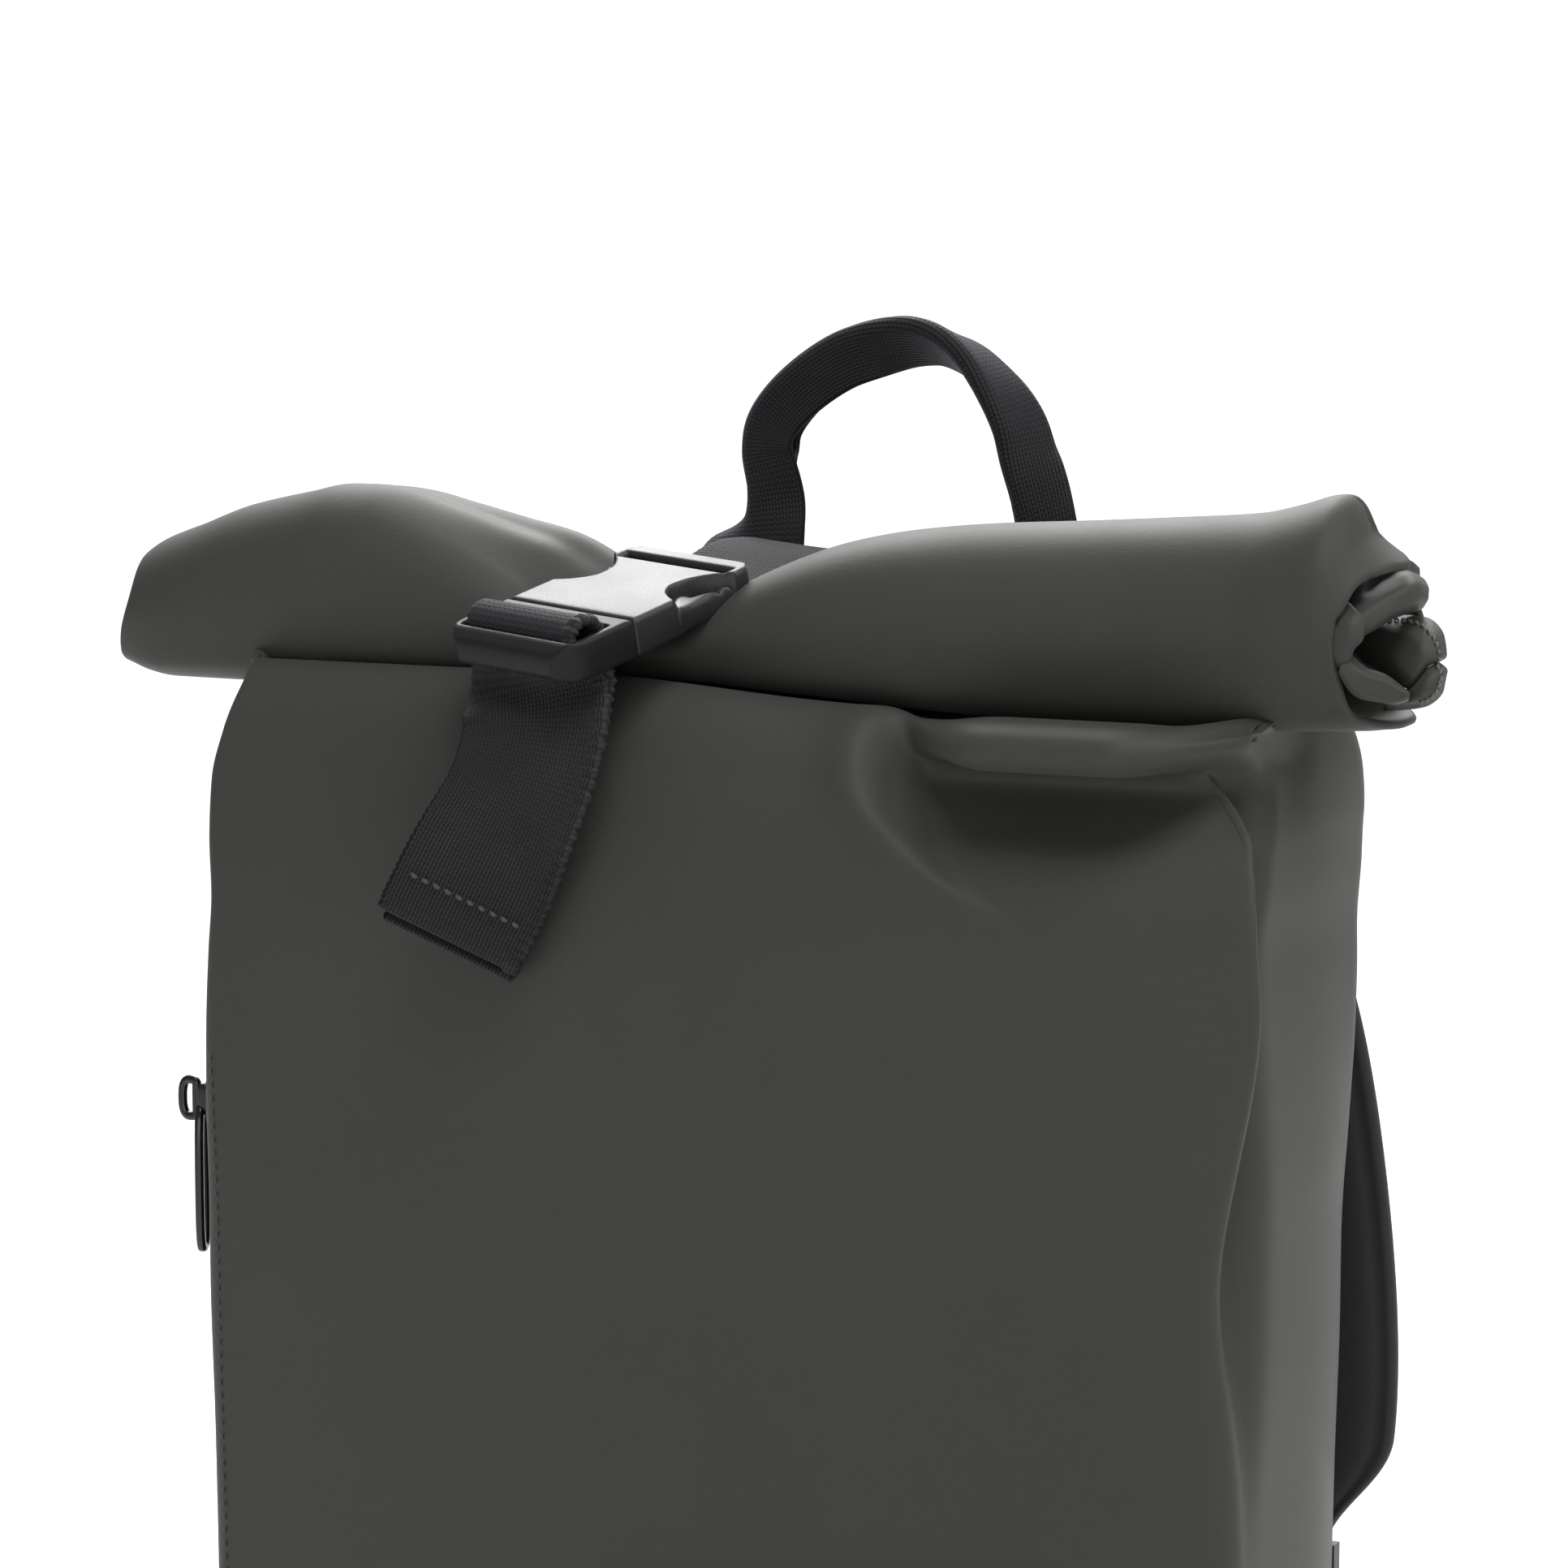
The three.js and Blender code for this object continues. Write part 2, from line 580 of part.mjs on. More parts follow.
// The grab handle: webbing sewn flat on the back, folded lengthwise over its top.
function grabHandle() {
  const backFace = halfDepth + seatGap + webThick / 2;
  const foot = handleSpread / 2;
  const apex = shoulderHeight + handleRise - handleFoldThick / 2;
  const footZ = shoulderHeight - handleFootDrop;
  const half = [
    new THREE.Vector3(-foot, backFace - handleFootTuck, footZ),
    new THREE.Vector3(-foot, backFace + 0.5, footZ + 24),
    new THREE.Vector3(-foot, backFace + handleBack * 0.5, footZ + 46),
    new THREE.Vector3(-foot * 0.98, backFace + handleBack * 0.85, apex - 42),
    new THREE.Vector3(-foot * 0.82, backFace + handleBack, apex - 22),
    new THREE.Vector3(-foot * 0.45, backFace + handleBack, apex - 7.5),
    new THREE.Vector3(-foot * 0.16, backFace + handleBack, apex),
  ];
  const mirrored = half.slice().reverse().map((p) => new THREE.Vector3(-p.x, p.y, p.z));
  const curve = new THREE.CatmullRomCurve3([...half, ...mirrored], false, 'centripetal');
  const steps = 36;
  const sides = 10;
  const rings = range(steps).map((share) => {
    const centre = curve.getPointAt(share);
    const along = curve.getTangentAt(share);
    const fromEnd = Math.min(share, 1 - share);
    const folded = smooth(fromEnd, 0.14, 0.3);
    const turned = smooth(fromEnd, 0.3, 0.48);
    const wide = new THREE.Vector3(0, 1, 0).cross(along).normalize();
    const deep = along.clone().cross(wide).normalize();
    const halfWide = lerp(lerp(handleWebWidth, handleFold, folded), handleFoldThick, turned) / 2;
    const halfDeep = lerp(lerp(webThick, handleFoldThick, folded), handleFold, turned) / 2;
    return range(sides).slice(0, sides).map((turn) => {
      const angle = turn * 2 * Math.PI;
      const square = (value) => Math.sign(value) * Math.abs(value) ** lerp(0.35, 0.8, folded);
      return centre.clone()
        .addScaledVector(wide, halfWide * square(Math.cos(angle)))
        .addScaledVector(deep, -halfDeep * square(Math.sin(angle)));
    });
  });
  return ringSolid(rings.reverse());
}

// A padded shoulder strap, sewn beside the handle, swinging out behind the bag and down its side.
function shoulderPath(side) {
  const backFace = halfDepth + seatGap + strapThick / 2;
  const reach = strapSpread / 2;
  const fall = (share) => lerp(shoulderHeight - strapTopDrop, strapEnd, share);
  return [
    new THREE.Vector3(side * reach * 0.5, backFace, fall(0)),
    new THREE.Vector3(side * reach * 0.66, backFace + strapStandOff * 0.14, fall(0.045)),
    new THREE.Vector3(side * reach * 0.85, backFace + strapStandOff * 0.26, fall(0.16)),
    new THREE.Vector3(side * reach * 0.955, backFace + strapStandOff * 0.4, fall(0.3)),
    new THREE.Vector3(side * reach, backFace + strapStandOff * 0.78, fall(0.55)),
    new THREE.Vector3(side * reach * 1.01, backFace + strapStandOff, fall(0.8)),
    new THREE.Vector3(side * reach * 0.995, backFace + strapStandOff * 0.92, fall(1)),
  ];
}

function shoulderStrap(side) {
  const curve = new THREE.CatmullRomCurve3(shoulderPath(side), false, 'centripetal');
  const sides = 10;
  const rings = range(22).map((share) => {
    const centre = curve.getPointAt(share);
    const along = curve.getTangentAt(share);
    const wide = along.clone().cross(new THREE.Vector3(0, 1, 0)).normalize();
    const deep = wide.clone().cross(along).normalize();
    const taper = 1 - 0.5 * smooth(share, 0.86, 1) - 0.25 * (1 - smooth(share, 0, 0.2));
    return range(sides).slice(0, sides).map((turn) => {
      const angle = turn * 2 * Math.PI;
      const square = (value) => Math.sign(value) * Math.abs(value) ** 0.45;
      return centre.clone()
        .addScaledVector(wide, strapWidth / 2 * taper * square(Math.cos(angle)))
        .addScaledVector(deep, -strapThick / 2 * square(Math.sin(angle)));
    });
  });
  return ringSolid(rings);
}

// A plain ladder lock below each padded strap, and the webbing from it to the base's corner.
function adjuster(side) {
  const end = shoulderPath(side).pop();
  const outer = new THREE.BoxGeometry(adjusterWidth, adjusterThick, adjusterLength);
  const slot = new THREE.BoxGeometry(lowerWebWidth + 2, adjusterThick * 2, adjusterSlot);
  const lower = slot.clone().translate(0, 0, -adjusterLength * 0.22);
  slot.translate(0, 0, adjusterLength * 0.22);
  const solid = toSolid(outer).subtract(toSolid(slot)).subtract(toSolid(lower));
  return fromSolid(solid).translate(end.x, end.y, end.z - adjusterLength / 2 - seatGap * 3);
}

function lowerWeb(side) {
  const end = shoulderPath(side).pop();
  const top = end.z - adjusterLength;
  const behind = end.y - adjusterThick / 2 - seatGap * 2 - lowerWebThick / 2;
  const backFace = halfDepth + seatGap + lowerWebThick / 2;
  const corner = side * (halfWidth - backCornerRadius - lowerWebWidth * 0.4);
  const points = [
    new THREE.Vector3(end.x, behind, top + adjusterLength * 0.7),
    new THREE.Vector3(end.x, behind, top),
    new THREE.Vector3(lerp(end.x, corner, 0.4), lerp(behind, backFace, 0.4), lerp(top, lowerWebHeight, 0.42)),
    new THREE.Vector3(corner, backFace + 1.5, lowerWebHeight + 22),
    new THREE.Vector3(corner, backFace + 0.3, lowerWebHeight),
  ];
  return band(points, () => new THREE.Vector3(1, 0, 0), lowerWebWidth, lowerWebThick, 14);
}

// Where the left side of the body stands at a height, outside its cloth.
function leftSide(z) {
  const widths = bodySections.filter((s) => s.step > 0 && s.height <= 1);
  return -halfWidth * readTable(widths, 'height', z / shoulderHeight).width;
}

// A strip that lies on the left side of the body.
function sideStrip(fromY, toY, inside, outside) {
  const levels = range(16).map((share) => zipTop - share * zipLength);
  const line = (out) => levels.map((z) => [fromY, toY].map((y) => new THREE.Vector3(leftSide(z) - out, y, z)));
  return sheetSolid(line(outside), line(inside));
}

function zipTape() {
  const half = zipTapeWidth / 2;
  return sideStrip(zipY - half, zipY + half, seatGap, seatGap + zipTapeThick);
}

const teethFoot = 2 * seatGap + zipTapeThick;

function zipTeeth() {
  const half = zipTeethWidth / 2;
  return sideStrip(zipY - half, zipY + half, teethFoot, teethFoot + zipTeethThick);
}

const sliderZ = zipTop - 22;
const sliderFoot = teethFoot + zipTeethThick + seatGap;

function zipSlider() {
  const geometry = new THREE.BoxGeometry(sliderThick, sliderWidth, sliderLength);
  geometry.translate(leftSide(sliderZ) - sliderFoot - sliderThick / 2 - seatGap, zipY, sliderZ);
  return geometry;
}

// A loop of wire or strip: an outline with a hole of the same shape, thick enough to hold.
function loopPlate(length, width, rim, thick) {
  const rounded = (long, wide) => {
    const shape = new THREE.Shape();
    const radius = wide / 2;
    const reach = long / 2 - radius;
    shape.absarc(0, reach, radius, 0, Math.PI, false);
    shape.absarc(0, -reach, radius, Math.PI, 2 * Math.PI, false);
    return shape;
  };
  const shape = rounded(length, width);
  shape.holes.push(rounded(length - 2 * rim, width - 2 * rim));
  return new THREE.ExtrudeGeometry(shape, { depth: thick, bevelEnabled: false, curveSegments: 8 });
}

// Stands a plate on the left side, upright, with its width along the given direction.
function placedOnSide(geometry, wide, out, y, z) {
  const up = new THREE.Vector3(0, 0, 1);
  const basis = new THREE.Matrix4().makeBasis(wide, up, wide.clone().cross(up));
  basis.setPosition(leftSide(z) - out, y, z);
  return geometry.applyMatrix4(basis);
}

const ringOut = sliderFoot + sliderThick + seatGap * 2 + ringWidth / 2;

function zipRing() {
  const geometry = loopPlate(ringLength, ringWidth, ringWire, ringWire);
  return placedOnSide(geometry, new THREE.Vector3(-1, 0, 0), ringOut, zipY - ringWire / 2, sliderZ);
}

// The tab hangs below the ring, flat against the bag's side.
function zipTab() {
  const geometry = loopPlate(tabLength, tabWidth, tabRim, tabThick);
  const drop = ringLength / 2 + tabLength / 2 + seatGap;
  return placedOnSide(geometry, new THREE.Vector3(0, 1, 0), ringOut + tabThick / 2, zipY, sliderZ - drop);
}

add('body_shell', bodyShell(), cloth);
add('roll_top', rollTop(), cloth);
add('buckle_plug', bucklePlug(), plastic);
add('buckle_socket', buckleSocket(), plastic);
add('rear_strap', rearStrap(), webbing);
add('front_strap', frontStrap(), webbing);
add('grab_handle', grabHandle(), webbing);
for (const [name, side] of [['left', -1], ['right', 1]]) {
  add(`shoulder_strap_${name}`, shoulderStrap(side), padding);
  add(`adjuster_${name}`, adjuster(side), plastic);
  add(`lower_web_${name}`, lowerWeb(side), webbing);
}
add('zip_tape', zipTape(), webbing);
add('zip_teeth', zipTeeth(), plastic);
add('zip_slider', zipSlider(), enamel);
add('zip_ring', zipRing(), enamel);
add('zip_tab', zipTab(), enamel);

export default group;
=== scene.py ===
# %% [markdown]
# # A rolltop backpack
# The bag stands rolled shut and buckled. The solid model comes in first as a fixed frame, in metres, and every
# piece below is made in the same place as the solid that it stands for, so nothing has to be fitted afterwards.

# %% Load the frame
import math
import bmesh
import bpy
import numpy as np
from mathutils import Matrix


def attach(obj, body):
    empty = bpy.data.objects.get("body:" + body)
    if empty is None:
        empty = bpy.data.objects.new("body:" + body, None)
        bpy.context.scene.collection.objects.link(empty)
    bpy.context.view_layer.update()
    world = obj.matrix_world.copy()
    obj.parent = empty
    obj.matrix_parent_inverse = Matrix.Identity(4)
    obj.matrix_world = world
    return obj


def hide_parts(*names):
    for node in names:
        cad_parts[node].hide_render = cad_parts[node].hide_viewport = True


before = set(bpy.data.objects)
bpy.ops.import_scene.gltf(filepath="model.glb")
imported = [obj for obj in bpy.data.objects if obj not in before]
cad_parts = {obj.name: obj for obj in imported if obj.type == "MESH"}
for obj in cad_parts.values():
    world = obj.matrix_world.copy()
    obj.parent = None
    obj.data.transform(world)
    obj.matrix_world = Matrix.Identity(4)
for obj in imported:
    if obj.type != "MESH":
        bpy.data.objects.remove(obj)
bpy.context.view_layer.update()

MM = 0.001
print("nodes:", sorted(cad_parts))

# %% [markdown]
# ## Camera
# The photograph looks at the bag from 25 degrees to its right and 7 degrees above, with a long lens that crops
# its lower part. The camera is made first, so that every later step can be judged from the same place.

# %% Camera
AZIMUTH, ELEVATION, DISTANCE = math.radians(25), math.radians(7), 1.4
TARGET = np.array([0, 0, 0.338])
toward = np.array([math.sin(AZIMUTH) * math.cos(ELEVATION), -math.cos(AZIMUTH) * math.cos(ELEVATION),
                   math.sin(ELEVATION)])
lens = bpy.data.cameras.new("camera")
lens.lens, lens.sensor_width, lens.shift_x = 116.2, 36, -0.0031
camera = bpy.data.objects.new("camera", lens)
camera.location = TARGET + toward * DISTANCE
camera.rotation_euler = (math.pi / 2 - ELEVATION, 0, AZIMUTH)
bpy.context.collection.objects.link(camera)
bpy.context.scene.camera = camera
print("camera at", np.round(camera.location, 3))

# %% [markdown]
# ## Helpers for surfaces
# Each piece is a grid of points worked out as whole arrays in millimetres. Four helpers do the rest: one reads a
# table smoothly, one walks along a curve, one gives a sheet its thickness, and one turns points into a mesh.


# %% Read a table smoothly
def smooth_read(keys, values, at):
    """Values of a table at new keys: between two rows a cubic that leaves and arrives with the harmonic mean of
    the slopes on both sides of the row, so that it never overshoots."""
    keys, values, at = (np.asarray(a, float) for a in (keys, values, at))
    flat = values.reshape(len(keys), -1)
    step = np.diff(keys)[:, None]
    slope = np.diff(flat, axis=0) / step
    both = slope[:-1] * slope[1:]
    middle = np.where(both > 0, 2 * both / np.where(both > 0, slope[:-1] + slope[1:], 1), 0)
    lead = np.concatenate([slope[:1], middle, slope[-1:]])
    i = np.clip(np.searchsorted(keys, at, side="right") - 1, 0, len(keys) - 2)
    t = np.clip((at - keys[i]) / step[i, 0], 0, 1)[..., None]
    low, high, run = flat[i], flat[i + 1], step[i]
    out = (low * (1 + 2 * t) * (1 - t) ** 2 + high * t * t * (3 - 2 * t)
           + lead[i] * run * t * (1 - t) ** 2 - lead[i + 1] * run * t * t * (1 - t))
    return out.reshape(at.shape + values.shape[1:])


def ease(value, low, high):
    """0 below low, 1 above high, and the soft step 3t2 - 2t3 between them."""
    t = np.clip((np.asarray(value, float) - low) / (high - low), 0, 1)
    return t * t * (3 - 2 * t)


def bell(value, centre, spread):
    """A bump of height 1 around centre."""
    return np.exp(-(((np.asarray(value, float) - centre) / spread) ** 2))


def mix(low, high, share):
    return low + (high - low) * share


def unit(vectors):
    return vectors / np.maximum(np.linalg.norm(vectors, axis=-1, keepdims=True), 1e-12)


# %% Walk along a curve
def walk(points, count):
    """Evenly spaced points and directions on a smooth curve through the given points. Between two points it is
    the cubic whose end slopes come from the neighbours, weighted by the square roots of the distances."""
    p = np.asarray(points, float)
    p = np.vstack([2 * p[0] - p[1], p, 2 * p[-1] - p[-2]])
    gap = np.sqrt(np.linalg.norm(np.diff(p, axis=0), axis=1))[:, None]
    a, b, c, d = p[:-3], p[1:-2], p[2:-1], p[3:]
    before, here, after = gap[:-2], gap[1:-1], gap[2:]
    start = ((b - a) / before - (c - a) / (before + here) + (c - b) / here) * here
    end = ((c - b) / here - (d - b) / (here + after) + (d - c) / after) * here
    t = np.linspace(0, 1, 40, endpoint=False)[None, :, None]
    b, c, start, end = (v[:, None, :] for v in (b, c, start, end))
    fine = (b * (1 + 2 * t) * (1 - t) ** 2 + c * t * t * (3 - 2 * t)
            + start * t * (1 - t) ** 2 - end * t * t * (1 - t)).reshape(-1, 3)
    fine = np.vstack([fine, p[-2]])
    run = np.concatenate([[0], np.cumsum(np.linalg.norm(np.diff(fine, axis=0), axis=1))])
    at = np.linspace(0, run[-1], count)
    line = np.stack([np.interp(at, run, fine[:, k]) for k in range(3)], 1)
    return line, unit(np.gradient(line, axis=0)), run[-1]


# %% From points to a mesh
def cells(rows, columns, wrap=False):
    """Corners of each cell of a grid whose points are numbered row by row; wrap joins the last column to the first."""
    r = np.arange(rows - 1)[:, None] * columns
    c = np.arange(columns if wrap else columns - 1)[None, :]
    right = (c + 1) % columns
    return np.stack(np.broadcast_arrays(r + c, r + right, r + columns + right, r + columns + c), -1).reshape(-1, 4)


def make_piece(name, points, faces, uv=None, *, node, look):
    """A smooth mesh object from points in millimetres. A closed one whose volume comes out negative is turned."""
    points = np.asarray(points, float).reshape(-1, 3) * MM
    faces = np.asarray(faces).reshape(-1, np.shape(faces)[-1])
    a, b, c = points[faces[:, 0]], points[faces[:, 1]], points[faces[:, 2]]
    volume = np.einsum("ij,ij->", a, np.cross(b, c))
    if faces.shape[1] == 4:
        volume += np.einsum("ij,ij->", a, np.cross(c, points[faces[:, 3]]))
    if volume < 0:
        faces = faces[:, ::-1]
    mesh = bpy.data.meshes.new(name)
    mesh.from_pydata(points, [], faces.tolist())
    if uv is not None:
        layer = mesh.uv_layers.new(name="UVMap")
        layer.data.foreach_set("uv", (np.asarray(uv, float).reshape(-1, 2) * MM)[faces.ravel()].ravel())
    work = bmesh.new()
    work.from_mesh(mesh)
    bmesh.ops.remove_doubles(work, verts=work.verts, dist=1e-6)
    bmesh.ops.dissolve_degenerate(work, edges=work.edges, dist=1e-7)
    work.to_mesh(mesh)
    work.free()
    mesh.polygons.foreach_set("use_smooth", np.ones(len(mesh.polygons), bool))
    piece = bpy.data.objects.new(name, mesh)
    bpy.context.collection.objects.link(piece)
    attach(piece, "root")
    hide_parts(*([node] if isinstance(node, str) else node))
    mesh.materials.append(look)
    print(name, len(mesh.polygons), "faces", np.round(points.min(0), 3), np.round(points.max(0), 3))
    return piece


def normals_of(grid):
    """Unit normals of a grid: the cross product of its steps along a row and across the rows."""
    return unit(np.cross(np.gradient(grid, axis=1), np.gradient(grid, axis=0)))


EDGE_STEPS, END_ROWS = 3, 3


def slab(grid, thick):
    """A sheet with thickness: the grid moved out by half of it, round its right edge on a half circle, back
    underneath and round the left edge. The first and last rows thin out to nothing, so the ends are round too."""
    rows, columns, _ = grid.shape
    normal = normals_of(grid)
    half = np.broadcast_to(np.asarray(thick, float) / 2, (rows, columns)).copy()
    near = np.minimum(np.arange(rows), np.arange(rows)[::-1]) / END_ROWS
    half *= np.sqrt(1 - np.clip(1 - near, 0, 1) ** 2)[:, None]
    turn = np.linspace(0, math.pi, EDGE_STEPS + 2)[1:-1]
    parts, u = [grid + normal * half[..., None]], [np.arange(columns, dtype=float)]
    for side, beside in ((-1, -2), (0, 1)):
        edge, lift = grid[:, side], normal[:, side] * (1 if side else -1)
        out = unit(edge - grid[:, beside])
        reach = half[:, side][:, None]
        parts.append(np.stack([edge + reach * (math.cos(a) * lift + math.sin(a) * out) for a in turn], 1))
        u.append(np.full(EDGE_STEPS, float(columns - 1 if side else 0)))
        if side:
            parts.append((grid - normal * half[..., None])[:, ::-1])
            u.append(np.arange(columns, dtype=float)[::-1])
    points = np.concatenate(parts, 1)
    u = np.concatenate(u)
    width = np.concatenate([[0], np.cumsum(np.linalg.norm(np.diff(grid[rows // 2], axis=0), axis=1))])
    middle = grid[:, columns // 2]
    length = np.concatenate([[0], np.cumsum(np.linalg.norm(np.diff(middle, axis=0), axis=1))])
    across = np.interp(u, np.arange(columns), width)
    uv = np.stack(np.broadcast_arrays(across[None, :], length[:, None]), -1)
    return points, cells(rows, points.shape[1], wrap=True), uv


# %% [markdown]
# ## Finishes
# The bag has four kinds of finish: coated cloth, woven tape, moulded plastic or enamel, and thread. Each is a small
# node tree that reads the piece's own coordinates, so that grain and weave stay fixed to the cloth when the piece is
# seen from anywhere.


# %% Node helpers
def new_look(name, colour, rough, **sockets):
    """A material with one shader whose constant values are set on the shader itself."""
    look = bpy.data.materials.new(name)
    look.use_nodes = True
    shader = look.node_tree.nodes["Principled BSDF"]
    shader.inputs["Base Color"].default_value = (*colour, 1)
    shader.inputs["Roughness"].default_value = rough
    for socket, value in sockets.items():
        shader.inputs[socket.replace("_", " ")].default_value = value
    return look, look.node_tree, shader


def calc(tree, kind, *values):
    """A node of arithmetic on numbers or other nodes' outputs."""
    node = tree.nodes.new("ShaderNodeMath")
    node.operation = kind
    for socket, value in zip(node.inputs, values):
        if isinstance(value, (int, float)):
            socket.default_value = value
        else:
            tree.links.new(value, socket)
    return node.outputs[0]


def noise(tree, scale, detail=3, rough=0.5, stretch=None):
    """Noise on the piece's object coordinates, in features of 1/scale metres."""
    node = tree.nodes.new("ShaderNodeTexNoise")
    node.inputs["Scale"].default_value = scale
    node.inputs["Detail"].default_value = detail
    node.inputs["Roughness"].default_value = rough
    where = tree.nodes.new("ShaderNodeTexCoord").outputs["Object"]
    if stretch:
        mapping = tree.nodes.new("ShaderNodeMapping")
        mapping.inputs["Scale"].default_value = stretch
        tree.links.new(where, mapping.inputs["Vector"])
        where = mapping.outputs[0]
    tree.links.new(where, node.inputs["Vector"])
    return node.outputs["Fac"]


def between(tree, factor, low, high, to_socket):
    """Blends two colours by a factor and links the result."""
    node = tree.nodes.new("ShaderNodeMix")
    node.data_type = "RGBA"
    tree.links.new(factor, node.inputs[0])
    node.inputs[6].default_value = (*low, 1)
    node.inputs[7].default_value = (*high, 1)
    tree.links.new(node.outputs[2], to_socket)


def bump(tree, height, strength, depth, shader):
    node = tree.nodes.new("ShaderNodeBump")
    node.inputs["Strength"].default_value = strength
    node.inputs["Distance"].default_value = depth
    tree.links.new(height, node.inputs["Height"])
    tree.links.new(node.outputs[0], shader.inputs["Normal"])


# %% Coated cloth
def coated_cloth(name, dark, light, rough):
    """Rubbery coated cloth: nearly even colour with slow clouds, and a grain about 0.4 mm wide."""
    look, tree, shader = new_look(name, light, rough, Specular_IOR_Level=0.22, Sheen_Weight=0.04, Sheen_Roughness=0.5)
    cloud = noise(tree, 14, 4, 0.55)
    grain = noise(tree, 2300, 2, 0.6)
    streak = noise(tree, 900, 2, 0.5, (0.35, 0.35, 1.6))
    tone = calc(tree, "ADD", calc(tree, "MULTIPLY", cloud, 0.7), calc(tree, "MULTIPLY", streak, 0.3))
    between(tree, tone, dark, light, shader.inputs["Base Color"])
    tree.links.new(calc(tree, "MULTIPLY_ADD", cloud, 0.16, rough - 0.08), shader.inputs["Roughness"])
    relief = calc(tree, "ADD", grain, calc(tree, "MULTIPLY", streak, 0.8))
    bump(tree, relief, 0.35, 0.00012, shader)
    return look


CLOTH = coated_cloth("coated_cloth", (0.036, 0.037, 0.033), (0.052, 0.053, 0.048), 0.58)
# The shoulder straps wear the same coated cloth, made darker here as painted shade for the shadow they stand in behind
# the bag.
SHADED_STRAP_CLOTH = coated_cloth("strap_cloth", (0.018, 0.018, 0.019), (0.032, 0.032, 0.033), 0.7)


# %% Webbing
def woven(name, dark, light, column, grain, sheen=0.1):
    """Woven tape on its own UV map, in metres: ribs run along it, column wide, and each rib is crossed by slanted
    grains that lean the other way in the next rib."""
    look, tree, shader = new_look(name, light, 0.72, Specular_IOR_Level=0.22, Sheen_Weight=sheen, Sheen_Roughness=0.4,
                                  Sheen_Tint=(0.75, 0.8, 1, 1))
    split = tree.nodes.new("ShaderNodeSeparateXYZ")
    tree.links.new(tree.nodes.new("ShaderNodeTexCoord").outputs["UV"], split.inputs[0])
    across = calc(tree, "DIVIDE", split.outputs[0], column)
    index = calc(tree, "FLOOR", across)
    inside = calc(tree, "SUBTRACT", across, index)
    odd = calc(tree, "MODULO", index, 2.0)
    lean = calc(tree, "MULTIPLY_ADD", odd, -0.7, 0.35)
    along = calc(tree, "DIVIDE", split.outputs[1], grain)
    shift = calc(tree, "ADD", calc(tree, "MULTIPLY", odd, 0.5), calc(tree, "MULTIPLY", lean, inside))
    phase = calc(tree, "ADD", along, shift)
    wave = calc(tree, "MULTIPLY_ADD", calc(tree, "SINE", calc(tree, "MULTIPLY", phase, 2 * math.pi)), 0.5, 0.5)
    rib = calc(tree, "SINE", calc(tree, "MULTIPLY", inside, math.pi))
    weave = calc(tree, "MULTIPLY", calc(tree, "POWER", rib, 0.7), calc(tree, "MULTIPLY_ADD", wave, 0.45, 0.55))
    fuzz = noise(tree, 3500, 2, 0.6)
    patch = noise(tree, 60, 3, 0.5)
    tone = calc(tree, "MULTIPLY", weave, calc(tree, "MULTIPLY_ADD", patch, 0.6, 0.65))
    between(tree, tone, dark, light, shader.inputs["Base Color"])
    bump(tree, calc(tree, "MULTIPLY_ADD", fuzz, 0.2, weave), 1.0, 0.0004, shader)
    return look


WEBBING = woven("webbing", (0.003, 0.003, 0.0035), (0.032, 0.032, 0.034), 0.001, 0.0014, 0.05)
HANDLE_WEB = woven("handle_webbing", (0.003, 0.003, 0.0035), (0.024, 0.024, 0.026), 0.001, 0.0014, 0.12)
TAPE = woven("zip_tape", (0.012, 0.012, 0.012), (0.03, 0.03, 0.03), 0.0005, 0.0008, 0)


# %% Moulded plastic and enamel
def moulded(name, colour, rough, grain, depth, **sockets):
    """Moulded plastic or enamel: even colour, with a fine spark-eroded grain and slow changes in gloss."""
    look, tree, shader = new_look(name, colour, rough, **sockets)
    speck = noise(tree, grain, 3, 0.6)
    cloud = noise(tree, 40, 3, 0.5)
    tree.links.new(calc(tree, "MULTIPLY_ADD", cloud, 0.14, rough - 0.07), shader.inputs["Roughness"])
    low = tuple(c * 0.75 for c in colour)
    between(tree, speck, low, colour, shader.inputs["Base Color"])
    bump(tree, speck, 0.4, depth, shader)
    return look


PLASTIC = moulded("buckle_plastic", (0.016, 0.016, 0.018), 0.46, 1700, 0.0002, Specular_IOR_Level=0.5)
# The plug is the same black plastic as the socket. Its darker colour here is painted shade, and it is also made less
# glossy.
SHADED_PLUG_PLASTIC = moulded("plug_plastic_painted_shade", (0.011, 0.011, 0.012), 0.5, 1700, 0.0002, Specular_IOR_Level=0.22)
ENAMEL = moulded("black_enamel", (0.005, 0.005, 0.0055), 0.22, 900, 0.00004, Specular_IOR_Level=0.6)
THREAD = moulded("thread", (0.085, 0.085, 0.085), 0.7, 2600, 0.00008, Specular_IOR_Level=0.2)
PALE_THREAD = moulded("hem_thread", (0.17, 0.17, 0.16), 0.7, 2600, 0.00008, Specular_IOR_Level=0.2)
print("finishes:", [m.name for m in bpy.data.materials])

# %% [markdown]
# ## Body
# The body is one cloth bag: a front panel that slumps forward, soft sides, and a mouth that closes to a slot
# under the roll. It is made as rings around the bag, stacked from the base to the mouth. The front of each ring
# then takes its place from two profiles, a smooth shoulder on the left and an overhanging lip on the right,
# because a ring at one height can't fold over itself.

